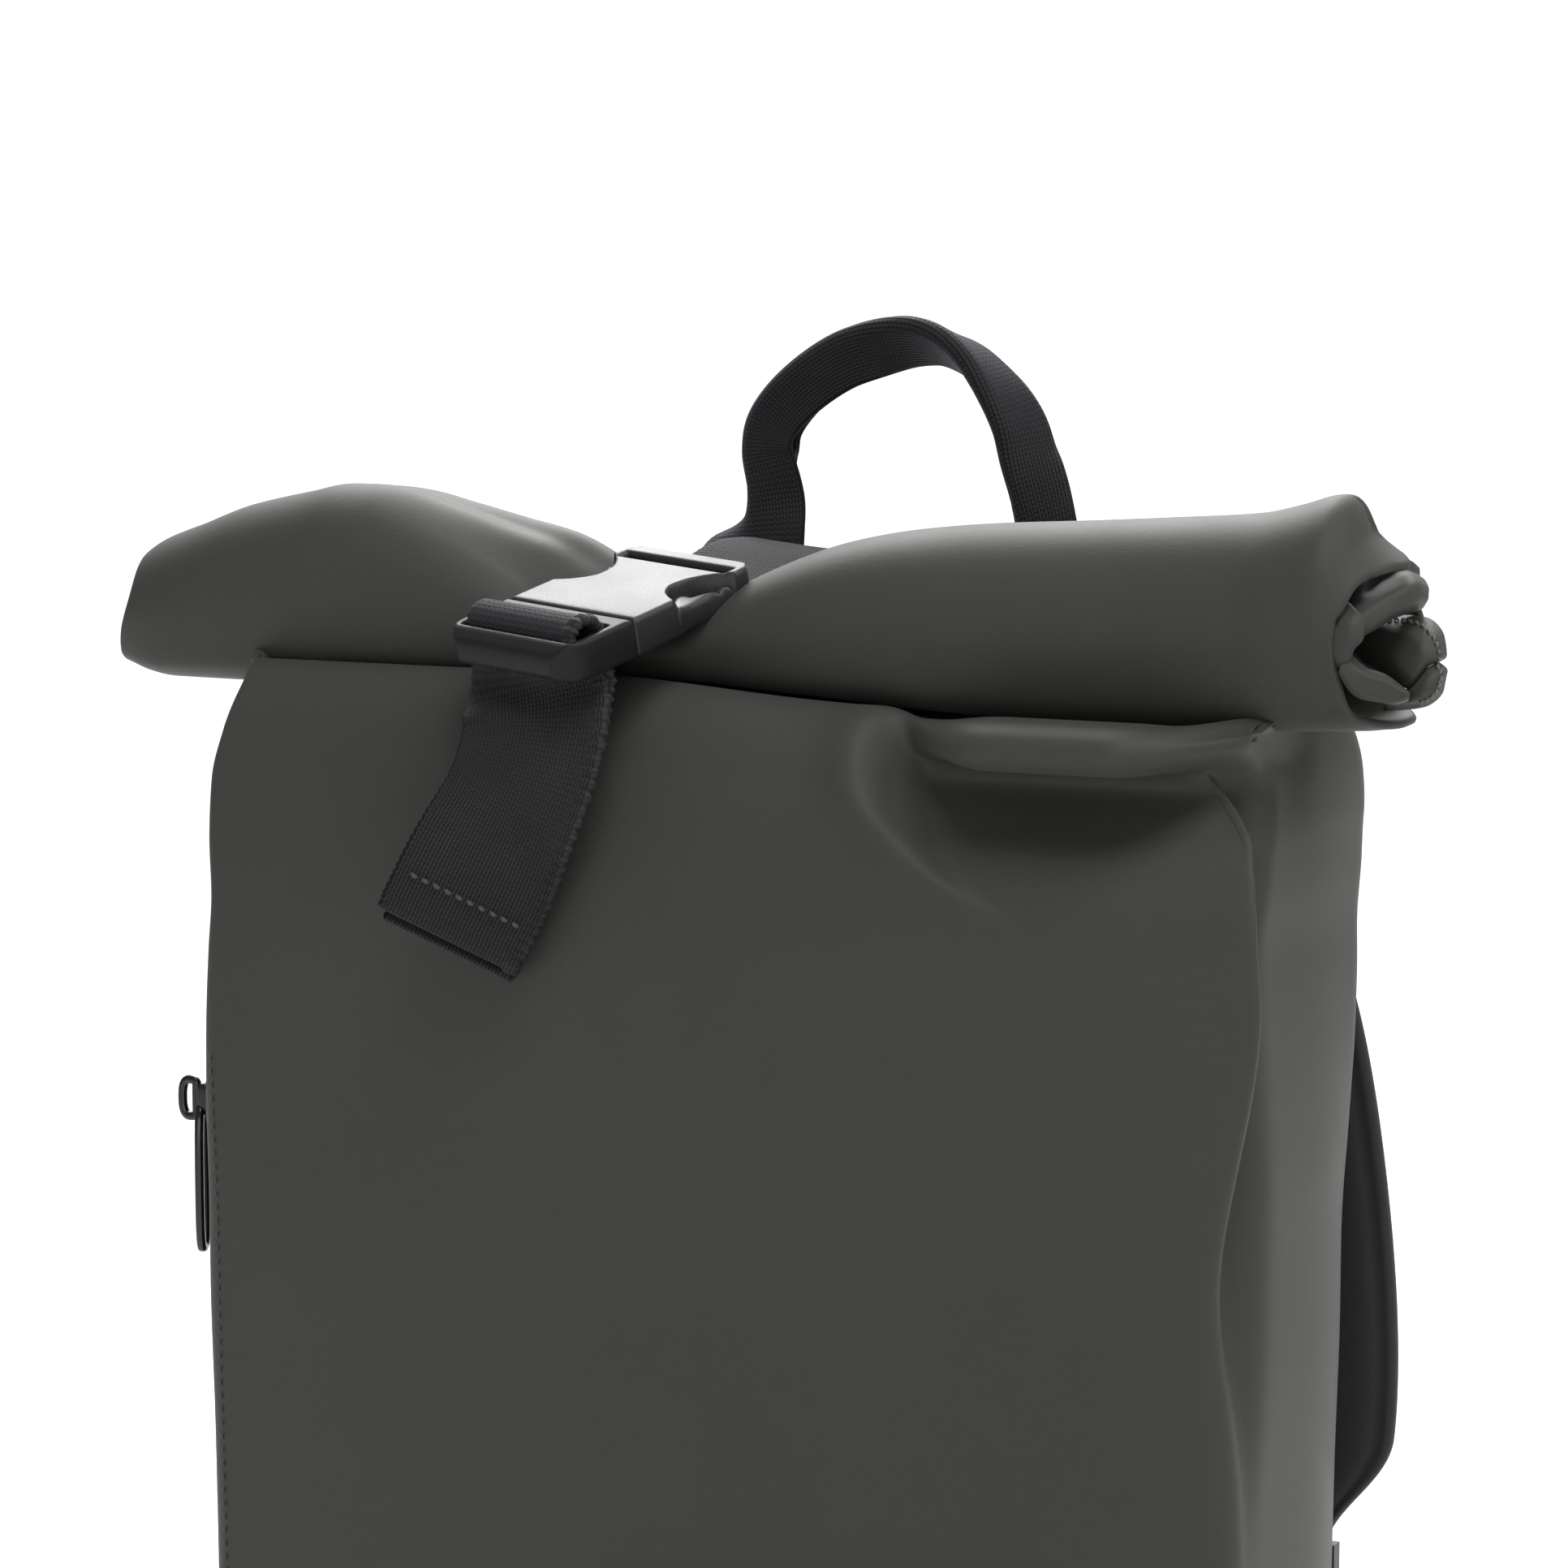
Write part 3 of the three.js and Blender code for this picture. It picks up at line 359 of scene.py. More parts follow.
# %% Body measures
BODY_WIDTH, BODY_DEPTH, SHOULDER = 308, 120, 357
MOUTH_WIDTH, MOUTH_SHIFT, MOUTH_RISE, NECK_Y = 318, -20, 14, 21
CLOTH_WALL = 2
HALF_W, HALF_D = BODY_WIDTH / 2, BODY_DEPTH / 2
MOUTH_HALF = 4.4
body_steps = {
    "step": [0, 1, 2, 3, 4, 5, 6, 7, 8, 9, 10, 11, 12, 13, 14, 15, 16, 17, 18, 19, 20],
    "height": [0, 0, 0.008, 0.028, 0.14, 0.28, 0.42, 0.55, 0.66, 0.74, 0.81, 0.86, 0.9, 0.935, 0.965, 0.985, 0.996,
               1, 1.25, 1.55, 2],
    "width": [0.76, 0.955, 0.985, 1, 1, 1, 1.003, 1.01, 1.01, 1.003, 0.99, 0.981, 0.985, 0.984, 0.973, 0.96,
              0.965, 1.0, 1.05, 1.08, 1.09],
    "front": [0.4, 0.87, 0.965, 1, 1, 1, 1, 1, 1, 1, 1, 1, 1, 0.97, 0.88, 0.74, 0.5, 0.16, -0.1, -0.22, -0.24],
    "back": [0.4, 0.87, 0.965, 1, 1, 1, 1, 1, 1, 1, 1, 1, 1, 0.98, 0.94, 0.86, 0.74, 0.62, 0.5, 0.46, 0.44],
    "close": [0, 0, 0, 0, 0, 0, 0, 0, 0, 0, 0, 0, 0, 0, 0, 0, 0.08, 0.3, 0.62, 0.94, 1],
}
# Profiles of the front, as step, distance forward and height.
LEFT_PROFILE = np.array([
    (8, -60, 236), (9, -60, 264), (10, -60, 289), (11, -60, 306), (12, -59.8, 322), (13, -58.5, 338), (14, -54.5, 352),
    (14.7, -49, 362), (15.3, -42.5, 368.3), (15.8, -37, 370.3), (16.2, -33, 369.4), (16.8, -27, 364.5),
    (17.4, -18, 360.5), (18, -4, 358), (19, 12, 361.5), (20, 16.6, 371)])
MIDDLE_PROFILE = np.array([
    (8, -60, 236), (9, -60, 264), (10, -60, 289), (11, -60, 306), (12, -59.8, 321), (13, -58.5, 336),
    (14, -54.5, 348.5), (14.7, -49, 357.8), (15.3, -42.5, 363.6), (15.8, -37, 365.6), (16.2, -33, 364.8),
    (16.8, -27, 361.5), (17.4, -18, 359.5), (18, -4, 358), (19, 12, 361.5), (20, 16.6, 371)])
HOLLOW_PROFILE = np.array([
    (8, -60, 236), (9, -60, 264), (10, -60.3, 288), (11, -60.5, 303), (12, -58, 317.5), (12.7, -53.5, 328.5),
    (13.4, -45, 338.5), (14.1, -38, 347.5), (14.8, -36.5, 354.5), (15.4, -37, 360), (16, -35, 363.4),
    (16.8, -26, 361.6), (17.6, -12, 359), (18.4, 2, 358.5), (19.2, 13, 362), (20, 16.6, 371)])
LIP_PROFILE = np.array([
    (8, -60, 236), (9, -60, 264), (10, -60.5, 288), (11, -60.5, 303), (12, -58, 317.5), (12.7, -53, 328.5),
    (13.4, -43.5, 338.5), (14, -36.5, 347), (14.5, -41, 352), (15, -56, 352), (15.5, -62.5, 353.8), (16, -65, 357.6),
    (16.5, -63, 362), (17, -56, 364.6), (17.5, -44, 364.8), (18.1, -28, 361), (18.7, -10, 358.2), (19.3, 8, 360.5),
    (20, 16.6, 371)])


# %% Body rings
def rounded_rings(half, front, back, front_radius, back_radius, plan):
    """Rings round a rectangle with round corners, one per row: straight runs between quarter circles, from the
    left end of the front counter-clockwise. plan gives the points on each side and in each corner."""
    corners = [(1, front, front_radius, -90, "front_corner"), (1, back, back_radius, 0, "back_corner"),
               (-1, back, back_radius, 90, "back_corner"), (-1, front, front_radius, 180, "front_corner")]
    arcs = []
    for side, line, radius, start, key in corners:
        angle = np.radians(start + 90 * np.linspace(0, 1, plan[key]))[None, :]
        inward = np.where(line == front, 1, -1)
        x = side * (half - radius)[:, None] + radius[:, None] * np.cos(angle)
        y = (line + inward * radius)[:, None] + radius[:, None] * np.sin(angle)
        arcs.append(np.stack([x, y], -1))
    parts = []
    for before, after, key in ((arcs[3], arcs[0], "front"), (arcs[0], arcs[1], "side"), (arcs[1], arcs[2], "back"),
                               (arcs[2], arcs[3], "side")):
        share = np.linspace(0, 1, plan[key] + 1)[None, 1:-1, None]
        parts += [mix(before[:, -1:], after[:, :1], share), after]
    return np.concatenate(parts, 1)


def front_puff(x, z):
    """How far the front panel stands out: a low dome, plus soft swells."""
    across, up = x / HALF_W, z / SHOULDER
    dome = 7 * np.clip(1 - across ** 2, 0, 1) * ease(up, 0.03, 0.35) * (1 - ease(up, 0.84, 0.97))
    left_swell = 2.5 * bell(across, -0.25, 0.4) * bell(up, 0.8, 0.1)
    right_swell = 2 * bell(across, 0.35, 0.5) * bell(up, 0.72, 0.09)
    return dome + left_swell + right_swell


def body_grid():
    """Rings of the body. A point moves from its ring towards the front's profile by a share that falls from 1 on
    the front to 0 behind the middle of the side, and the sides get the ridge, hollow and tuck of the gusset."""
    plan = {"front": 150, "front_corner": 9, "side": 34, "back_corner": 9, "back": 60}
    step = np.concatenate([np.linspace(0.6, 3, 9)[:-1], np.linspace(3, 8, 30)[:-1], np.linspace(8, 12, 42)[:-1],
                           np.linspace(12, 20, 84)])
    keys = body_steps["step"]
    height, width, front, back, close = (smooth_read(keys, body_steps[k], step)
                                         for k in ("height", "width", "front", "back", "close"))
    level = np.minimum(height, 1) * SHOULDER + np.maximum(height - 1, 0) * MOUTH_RISE
    half = mix(HALF_W * width, MOUTH_WIDTH / 2, close)
    y_front = mix(-HALF_D * front, NECK_Y - MOUTH_HALF, close)
    y_back = mix(HALF_D * back, NECK_Y + MOUTH_HALF, close)
    room = np.clip((y_back - y_front) / 2.05 / 22, 0, 1)
    crease = mix(8, 3, ease(level, 215, 300))
    front_radius = np.minimum(crease, (y_back - y_front) / 2.05) * np.maximum(room, 0.1)
    ring = rounded_rings(half, y_front, y_back, front_radius, 22 * room, plan)
    x = ring[..., 0] + (MOUTH_SHIFT / 2 * close)[:, None]
    y = ring[..., 1]
    z = np.broadcast_to(level[:, None], x.shape)
    flat_front = (y - y_front[:, None]) / np.maximum(y_back - y_front, 1)[:, None]
    share = 1 - ease(flat_front, 0.02, 0.55)
    left, middle = (smooth_read(rows[:, 0], rows[:, 1:], step)[:, None, :] for rows in (LEFT_PROFILE, MIDDLE_PROFILE))
    left = mix(left, middle, ease(x, -45, 40)[..., None])
    hollow = smooth_read(HOLLOW_PROFILE[:, 0], HOLLOW_PROFILE[:, 1:], step)[:, None, :]
    lip = smooth_read(LIP_PROFILE[:, 0], LIP_PROFILE[:, 1:], step)[:, None, :]
    edge = 43 + 11 * np.clip((352 - z) / 19, 0, 3) ** 2
    sunk = ease(x, edge, edge + 15) * ease(step, 10.8, 12.6)[:, None]
    over = ease(x, 44, 84) * (1 - ease(x, 118, 158))
    profile = mix(left, mix(hollow, lip, over[..., None]), sunk[..., None])
    use = (share * ease(step, 8, 9.5)[:, None])
    dy = use * (profile[..., 0] - y_front[:, None])
    dz = use * (profile[..., 1] - z)
    comma = 2.4 * bell(x, edge - 2, 7) * bell(z, 346, 19) * (step < 16)[:, None]
    up = z / SHOULDER
    puff = share * (front_puff(x, z) * (step < 17)[:, None] + comma)
    right_side = ease(ring[..., 0], half[:, None] * 0.82, half[:, None])
    depth = y / HALF_D
    ridge = (9.2 * bell(up, 0.85, 0.12) - 5 * bell(up, 0.6, 0.1)) * bell(depth, -1.02, 0.24)
    fold = -8 * bell(up, 0.66, 0.14) * bell(depth, -0.83, 0.09)
    valley = -17 * bell(up, 0.93, 0.075) * bell(depth, -0.8, 0.11)
    valley = valley - 2.5 * bell(up, 0.76, 0.12) * bell(depth, -0.78, 0.12)
    swell = 4.2 * bell(up, 0.99, 0.05) * bell(depth, 0.6, 0.6) + 2 * bell(up, 0.9, 0.12) * bell(depth, 0.1, 0.6)
    tuck = -9 * bell(depth, 0.95, 0.55) * (1 - ease(up, 0.6, 0.88)) * ease(up, 0.02, 0.3)
    x = x + right_side * (ridge + valley + fold + swell + tuck) * (1 - ease(step, 14.5, 17))[:, None]
    lift = 7 * right_side * (ease(step, 13, 15.5) * (1 - ease(step, 17.5, 19.5)))[:, None] * ease(depth, -0.3, 0.15)
    settle = ease(step, 2, 4)[:, None]
    return np.stack([x, y + dy - puff * settle, z + dz + lift], -1)


# %% Body piece
def tube(grid, *ends):
    """A grid of closed rings. Each end that is named, 0 or -1, is shut by a point in the middle of its ring."""
    columns = grid.shape[1]
    caps = {end: np.broadcast_to(grid[end].mean(0), (1, columns, 3)) for end in ends}
    points = np.concatenate([caps[0], grid] + ([caps[-1]] if -1 in caps else []), 0)
    return points, cells(len(points), columns, wrap=True)


outer = body_grid()
body_points, body_faces = tube(outer, 0)
body = make_piece("body", body_points, body_faces, node="body_shell", look=CLOTH)
wall = body.modifiers.new("wall", "SOLIDIFY")
wall.thickness, wall.offset = CLOTH_WALL * MM, -1

# %% [markdown]
# ## Roll
# The closed mouth is two layers of cloth wound forwards. It is one sheet on a spiral: it climbs the back, goes
# over the top, down the front and on inside. The strap squeezes its middle, and each turn lies a little further
# right than the one around it, which leaves the open end with its layers stepping out.

# %% Roll measures
ROLL_SHEET, ROLL_WIDTH, ROLL_DEPTH, ROLL_HEIGHT, ROLL_TURNS = 2.4, 370, 60, 54, 1.7
ROLL_MIDDLE = SHOULDER + 26
TURN_SHRINK = 0.24
# Shares of half the width, of the height above and below the middle, and of the depth.
ROLL_ROWS = np.array([
    (-1.06, .10, .28, .72), (-1, .15, .33, .8), (-.977, .23, .345, .85), (-.936, .337, .385, .9), (-.9, .385, .4, .93),
    (-.861, .43, .4, .95), (-.824, .48, .4, .96), (-.783, .528, .4, .97), (-.672, .611, .38, .99), (-.6, .66, .37, 1),
    (-.54, .665, .355, 1), (-.5, .655, .35, 1), (-.415, .593, .34, 1), (-.331, .524, .33, .99), (-.248, .455, .32, .97),
    (-.165, .3, .31, .94), (-.1, .08, .3, .92), (0, .03, .3, .88), (.06, .1, .3, .89), (.1, .2, .31, .9),
    (.171, .331, .33, .93), (.263, .444, .35, .96), (.354, .507, .375, .97), (.457, .546, .395, .98),
    (.602, .576, .41, .98),
    (.733, .606, .41, .97), (.868, .643, .405, .97), (.928, .69, .4, .98), (.99, .745, .39, .98),
    (1.004, .72, .388, .975), (1.016, .65, .385, .97), (1.026, .58, .383, .965), (1.045, .525, .38, .955),
    (1.07, .475, .37, .94), (1.09, .445, .365, .93), (1.18, .42, .36, .92)])
# How far the right rim stands out, against the turns: a lobe in front of the top, and cut back over the front.
RIM = np.array([
    (0, -.03), (.15, -.03), (.2, -.015), (.23, .03), (.252, .076), (.277, .086), (.31, .074), (.34, .061),
    (.367, .047), (.397, .037),
    (.44, .028), (.47, .02), (.53, .019), (.573, .027), (.62, .037), (.648, .053), (.68, .067), (.7125, .078),
    (.745, .084), (.85, .05), (1, 0), (1.7, 0)])
# The front half of the top follows these lower heights, where the strap has squeezed it.
FRONT_TOP = np.array([
    (-1.06, .10), (-.7, .59), (-.6, .655), (-.54, .655), (-.5, .62), (-.415, .52), (-.331, .4), (-.26, .27), (-.2, .13),
    (-.1, .06), (0, .03), (.06, .06), (.1, .2), (.171, .325), (.263, .444), (.354, .507), (.6, .576), (1.18, .5)])


# %% Roll piece
def roll_grid(rows=250, columns=190):
    """Spiral: at each place along the roll, height = axis + radius * reach * sin(angle) and depth = centre +
    swell * reach * cos(angle), with reach falling with the turns. Its lower front quarter raises sine and cosine to a
    power below 1, so that it hangs full over the lip. Before angle 0 the sheet goes down to the mouth."""
    turn = np.concatenate([np.linspace(-0.16, 0, 12)[:-1], np.linspace(0, ROLL_TURNS, rows - 11)])[:, None]
    along = np.sin(np.linspace(-1, 1, columns) * 1.2) / math.sin(1.2)
    along = np.broadcast_to(along[None, :], (rows, columns))
    round_ = np.clip(turn, 0, None)
    angle = 2 * math.pi * round_
    saddle = -0.03 * (1 - np.cos(angle)) * bell(along, 0, 0.4)
    rim = smooth_read(RIM[:, 0], RIM[:, 1], round_)
    to_right, to_left = ease(along, 0.6, 1), ease(-along, 0.6, 1)
    slant = 0.04 * bell(round_, 0.25, 0.13) + 0.055 * bell(round_, 0.44, 0.12) + 0.02 * bell(round_, 0.66, 0.16)
    inner = 0.05 * ease(round_, 0.85, 1.1)
    place = along + to_right * (rim - inner) + to_left * (slant + inner)
    row = smooth_read(ROLL_ROWS[:, 0], ROLL_ROWS[:, 1:], np.clip(place - saddle, -1.06, 1.18))
    front_top = smooth_read(FRONT_TOP[:, 0], FRONT_TOP[:, 1], np.clip(place - saddle, -1.06, 1.18))
    top, bottom, depth = row[..., 0], row[..., 1], row[..., 2]
    before = np.minimum(front_top, top)
    squeeze = bell(along, -0.1, 0.55)
    top = mix(top, before, ease(angle, 1.15, 2.2) * squeeze)
    swell = depth * ROLL_DEPTH / 2
    at_top, at_bottom = 1 - TURN_SHRINK / 4, 1 - TURN_SHRINK * 0.75
    high = ROLL_MIDDLE + top * ROLL_HEIGHT - ROLL_SHEET / 2
    low = ROLL_MIDDLE - bottom * ROLL_HEIGHT + ROLL_SHEET / 2
    radius = (high - low) / (at_top + at_bottom)
    axis = high - at_top * radius
    reach = 1 - TURN_SHRINK * round_
    crease = 2.6 * bell(angle, 1.42, 0.2) * bell(along, -0.36, 0.2)
    power = 1 - 0.34 * ease(angle, 3.3, 3.9) * (1 - ease(angle, 5, 5.9))
    cosine, sine = (np.sign(wave) * np.abs(wave) ** power for wave in (np.cos(angle), np.sin(angle)))
    y = NECK_Y - swell + (swell * reach - crease * 0.3) * cosine
    z = axis + (radius * reach - crease) * sine
    foot = SHOULDER + MOUTH_RISE - 2
    z = np.where(turn < 0, mix(axis, foot, -turn / 0.16), z)
    y = np.where(turn < 0, NECK_Y, y)
    x = MOUTH_SHIFT + place * ROLL_WIDTH / 2
    in_mouth = MOUTH_SHIFT / 2 + along * (MOUTH_WIDTH / 2 - 4)
    x = np.where(turn < 0, mix(x, in_mouth, np.clip(-turn / 0.13, 0, 1)), x)
    return np.stack([x, y, z], -1)


roll_sheet = roll_grid()
roll_points, roll_faces, roll_uv = slab(roll_sheet, ROLL_SHEET)
roll = make_piece("roll", roll_points, roll_faces, roll_uv, node="roll_top", look=CLOTH)

# %% [markdown]
# ### The roll's open end
# At the right end the layers don't lie in a neat spiral. A second layer folds over, its left end is pinched, and the
# hem comes out as two flaps with a tongue of cloth in front and one more layer behind. Each is a patch: a net of a
# few points, read smoothly both ways, and given nearly the same thickness as the roll. Their hidden ends run on
# inside the roll.

# %% Nets of the open end
SECOND_LAYER = [
    [(163, -14, 398), (170, -12, 402), (173.5, -8, 404.6), (176, -4, 406), (178, 0, 406), (178.5, 5, 404)],
    [(164, -18, 391), (171.7, -20, 396.6), (173.7, -15, 398.9), (176.2, -10, 401.3), (178.1, -4, 403.2),
     (179.6, 2, 401.4)],
    [(168, -26, 391), (174, -24, 395.2), (176.8, -20, 397.9), (178.9, -14, 400.1), (181, -8, 402),
     (182.2, -1, 400.2)],
    [(171.6, -30.5, 390.6), (175.6, -26.6, 393.3), (178.8, -22.6, 396.1), (181.7, -17.6, 398.7),
     (183.9, -11, 399.9), (184, -4, 398.4)],
    [(172.6, -30, 388.6), (176.6, -26.6, 391.3), (179.8, -22.6, 394.2), (182.2, -17.6, 396.1),
     (184.2, -12, 397.5), (184.5, -6, 397)],
    [(171.6, -25, 387.6), (176, -21, 390.5), (178.7, -17, 392.9), (181, -12, 394.3), (182.8, -7, 395.3),
     (182.6, -2, 395.2)],
    [(168, -14, 387.6), (173, -11, 390), (175.4, -7, 391.6), (177.4, -2, 392.6), (179, 3, 392.9),
     (178.8, 7, 393.2)]]
BACK_LAYER = [
    [(158, 16, 402), (166, 15, 401.5), (171, 13, 400), (175, 11, 398)],
    [(158, 13, 397), (168, 12, 396.5), (174, 11, 395), (177.5, 9, 393.5)],
    [(158, 12, 390), (168, 11, 390), (175, 10, 389.5), (179.6, 8, 388.6)],
    [(158, 12, 382), (168, 11, 382), (176, 9, 382.5), (182, 6, 383)]]
UPPER_FLAP = [
    [(150, 12, 388), (158, 12, 390), (170.8, 3, 390.4), (176.8, 2, 390.9), (183.4, -1, 390.9), (189.4, -6, 387.5),
     (191.2, -9, 382.6), (189.8, -8, 381.6)],
    [(150, 8, 386.5), (159, 7, 388.5), (171.1, -1, 389.8), (177.5, -3, 390.3), (183.6, -6, 389.9),
     (189.3, -12, 387.1), (191.2, -14.6, 382.8), (189.8, -11.6, 381.4)],
    [(150, 4, 383.5), (158.5, 2, 386), (169.5, -4, 387.9), (175.9, -8, 387.1), (182.7, -13, 386.7),
     (187.5, -18, 384), (189, -18.6, 381.4), (188, -14.6, 380.2)],
    [(150, 4, 380.5), (156, 2, 382.5), (165.5, -2, 385.1), (171.1, -6, 383.1), (178.2, -12, 382.2),
     (183.9, -18, 379.4), (186.4, -19.6, 377.7), (185.4, -15.5, 376.8)],
    [(150, 6, 377), (154, 5, 379), (161.8, 2, 381.8), (166.7, 0, 378.4), (173.1, -5, 376.4), (180.4, -13, 374.3),
     (183.2, -17, 374.2), (183, -16, 374.6)]]
LOWER_FLAP = [
    [(190, -11, 380.2), (192.5, -13, 378.6), (192.3, -15, 374.1), (189.3, -16, 370.5), (185.2, -15, 369.2),
     (176, -12, 368)],
    [(190.4, -14, 380), (192.9, -17.6, 378.4), (192.5, -20, 374.9), (189.6, -20, 372.3), (186.2, -18, 371.1),
     (178, -15, 369.6)],
    [(189.4, -17, 379.2), (191.2, -21.4, 377.8), (190.5, -23, 375.3), (188.4, -22, 373.3), (185.9, -20, 372.1),
     (178, -17, 370.8)],
    [(187.8, -14, 378.8), (186.6, -15, 377.6), (185.2, -16, 375.6), (183.6, -16, 374), (181.8, -15, 373.2),
     (177, -13, 372)]]
TONGUE = [
    [(169.6, -25, 384.2), (172.7, -25.5, 381.4), (175.1, -25, 379.4), (179.1, -23, 377.9), (182.4, -22, 375.5),
     (185.3, -23, 373.6)],
    [(170.8, -31, 382.6), (173.9, -31, 379.8), (176.8, -30, 377.9), (180.7, -28, 376.6), (183.5, -26, 374.8),
     (186.1, -25, 373.4)],
    [(171.2, -33, 379.8), (173.8, -32, 376.3), (176.3, -30, 374.4), (179.8, -28, 373.5), (182.8, -26, 372.3),
     (185.6, -24, 372.7)],
    [(170.8, -29, 377.4), (172.4, -27, 373.8), (174.2, -24, 372.1), (178.1, -22, 371.4), (181.2, -20, 370.9),
     (184.1, -20, 371.7)]]
PINCH = [
    [(168, -24, 397), (167, -28, 392), (166.5, -30, 388), (166.5, -30, 384.5), (167, -28, 380.5)],
    [(171.7, -27, 395.2), (170.8, -32, 391.7), (170.2, -33.6, 388.2), (170.2, -33.6, 384.7), (170.6, -32, 381.5)],
    [(174.3, -30, 393.9), (173.6, -33, 391), (173.3, -34, 388.1), (172, -33.8, 385.4), (171.6, -32.5, 382.5)],
    [(175.4, -29, 392.2), (175.3, -31, 390), (175.5, -31.5, 388.3), (173.1, -32, 385.3), (172.2, -31.6, 382.8)],
    [(173.6, -24, 391.2), (173.1, -25, 389), (172.9, -25, 387.6), (171, -25.5, 384.6), (170.8, -26, 382.6)]]


# %% Patches
def patch(net, rows=44, columns=64):
    """A surface through a net of points: the net is read smoothly along its columns, then along its rows."""
    net = np.asarray(net, float)
    down_net = smooth_read(np.arange(len(net)), net, np.linspace(0, len(net) - 1, rows))
    across_net = smooth_read(np.arange(net.shape[1]), down_net.transpose(1, 0, 2),
                             np.linspace(0, net.shape[1] - 1, columns))
    return across_net.transpose(1, 0, 2)


END_PIECES = {"roll_second_layer": (SECOND_LAYER, 2.0), "roll_upper_flap": (UPPER_FLAP, 1.6),
              "roll_lower_flap": (LOWER_FLAP, 1.6), "roll_tongue": (TONGUE, 1.8), "roll_pinch": (PINCH, 1.8),
              "roll_back_layer": (BACK_LAYER, 1.8)}
for name, (net, thick) in END_PIECES.items():
    points, faces, uv = slab(patch(net), thick)
    make_piece(name, points, faces, uv, node="roll_top", look=CLOTH)

# %% [markdown]
# ## Webbing
# Straps are woven tape 40 mm wide. Each is a ribbon: a curve down its middle, a direction for its width at every
# step, and a thin slab around both. A small ripple along both edges stands for the loops of the weft.


# %% Ribbon helper
RIPPLE, RIPPLE_PITCH, RIBBON_COLUMNS = 0.25, 2.2, 15


def ribbon(points, across, width, thick, rows=160):
    """A ribbon: place = middle + offset * side, where side is the given direction made square to the curve."""
    line, along, length = walk(points, rows)
    share = np.linspace(0, 1, rows)
    side = across(share[:, None])
    side = unit(side - along * np.sum(side * along, -1, keepdims=True))
    offset = np.linspace(-0.5, 0.5, RIBBON_COLUMNS)[None, :, None]
    run = share[:, None, None] * length
    half = width + RIPPLE * np.sin(2 * math.pi * run / RIPPLE_PITCH) * (np.abs(offset) > 0.49)
    grid = line[:, None, :] + side[:, None, :] * offset * half
    return slab(grid, thick)


# %% Buckle's own directions
BUCKLE_SLOPE, BUCKLE_TURN, BUCKLE_LEAN = 15, 19, 3.5


def buckle_axes():
    """The buckle leans with the roll: along points to the back, across to the right, up out of its face."""
    slope, turn, lean = (math.radians(v) for v in (BUCKLE_SLOPE, BUCKLE_TURN, BUCKLE_LEAN))
    along = np.array([math.sin(turn) * math.cos(slope), math.cos(turn) * math.cos(slope), math.sin(slope)])
    across = unit(np.array([math.cos(turn), -math.sin(turn), -math.tan(lean)]))
    along = unit(along - across * along.dot(across))
    return across, along, np.cross(across, along)


ACROSS, ALONG, UP = buckle_axes()
BUCKLE_FRONT = np.array([-49, -75, 377.5])
BUCKLE_T, PLUG_L, SOCKET_L, SEAT = 11, 26, 48, 0.3


def on_buckle(across, along, up):
    """A place given in the buckle's own directions, in the bag's frame."""
    return (BUCKLE_FRONT + np.multiply.outer(across, ACROSS) + np.multiply.outer(along, ALONG)
            + np.multiply.outer(up, UP))


WEB_W, WEB_T = 40, 1.8
FRONT_SLOT, BACK_SLOT, BAR_AT = 8.3, 16.9, 12.6

# %% [markdown]
# ### Rear strap
# It is sewn to the back, climbs over the neck of the bag and runs in under the back of the buckle, where it ends below
# the rear slot.

# %% Rear strap
X_AXIS = np.array([1.0, 0, 0])
rear_bar = PLUG_L + SEAT + SOCKET_L - 3
rear_lift = BUCKLE_T / 2 + WEB_T / 2 + 0.4
rear_path = np.array([
    (-4, 61.5, 303.5), (-4, 61.5, 332), (-4, 58, 365), (-8, 46, 396.5), (-17, 27, 400.5),
    on_buckle(0, rear_bar + 8, -rear_lift), on_buckle(0, rear_bar - 3.6, -rear_lift)])
points, faces, uv = ribbon(
    rear_path, lambda s: mix(X_AXIS, ACROSS, ease(s, 0.35, 0.75)), WEB_W, WEB_T)
make_piece("rear_webbing", points, faces, uv, node="rear_strap", look=WEBBING)

# %% [markdown]
# ### Front strap and its tail
# It comes up from the front panel through the back slot of the plug, over the bar and down through the front
# slot, and hangs as a tail whose end is folded behind itself and stitched. The fold is part of the curve.

# %% Front strap
under, over_bar = -BUCKLE_T / 2, 1.6 + WEB_T / 2 + 5.2
tail_top = on_buckle(1, FRONT_SLOT - 0.5, under - 4)
tail_end = np.array([-60.5, -84, 305])
front_path = np.array([
    (-46, -64, 350), (-46, -63.5, 354), on_buckle(0, BACK_SLOT + 2, under - 4.6),
    on_buckle(0, BACK_SLOT + 0.4, under / 2),
    on_buckle(0, BACK_SLOT + 0.8, over_bar - 2.6), on_buckle(0, BACK_SLOT - 1, over_bar + 0.2),
    on_buckle(0, BAR_AT, over_bar + 1.2), on_buckle(0, FRONT_SLOT + 1, over_bar + 0.2),
    on_buckle(0, FRONT_SLOT - 0.8, over_bar - 2.6), on_buckle(0, FRONT_SLOT - 0.2, under / 2), tail_top,
    (-42.4, -69.6, 361), (-43.6, -74.5, 346.5), (-46.6, -77, 337), (-50.4, -79, 328), tail_end])
FACING = unit(np.array([0.88, 0.38, -0.24]))


def tail_side(s):
    """The strap is level at the front panel, square to the buckle, and then turns towards the right."""
    turned = 0.45 * ease(s, 0.4, 0.55) + 0.55 * ease(s, 0.72, 0.95)
    return mix(mix(X_AXIS, ACROSS, ease(s, 0.05, 0.16)), FACING, turned)


FRAY = 0.3


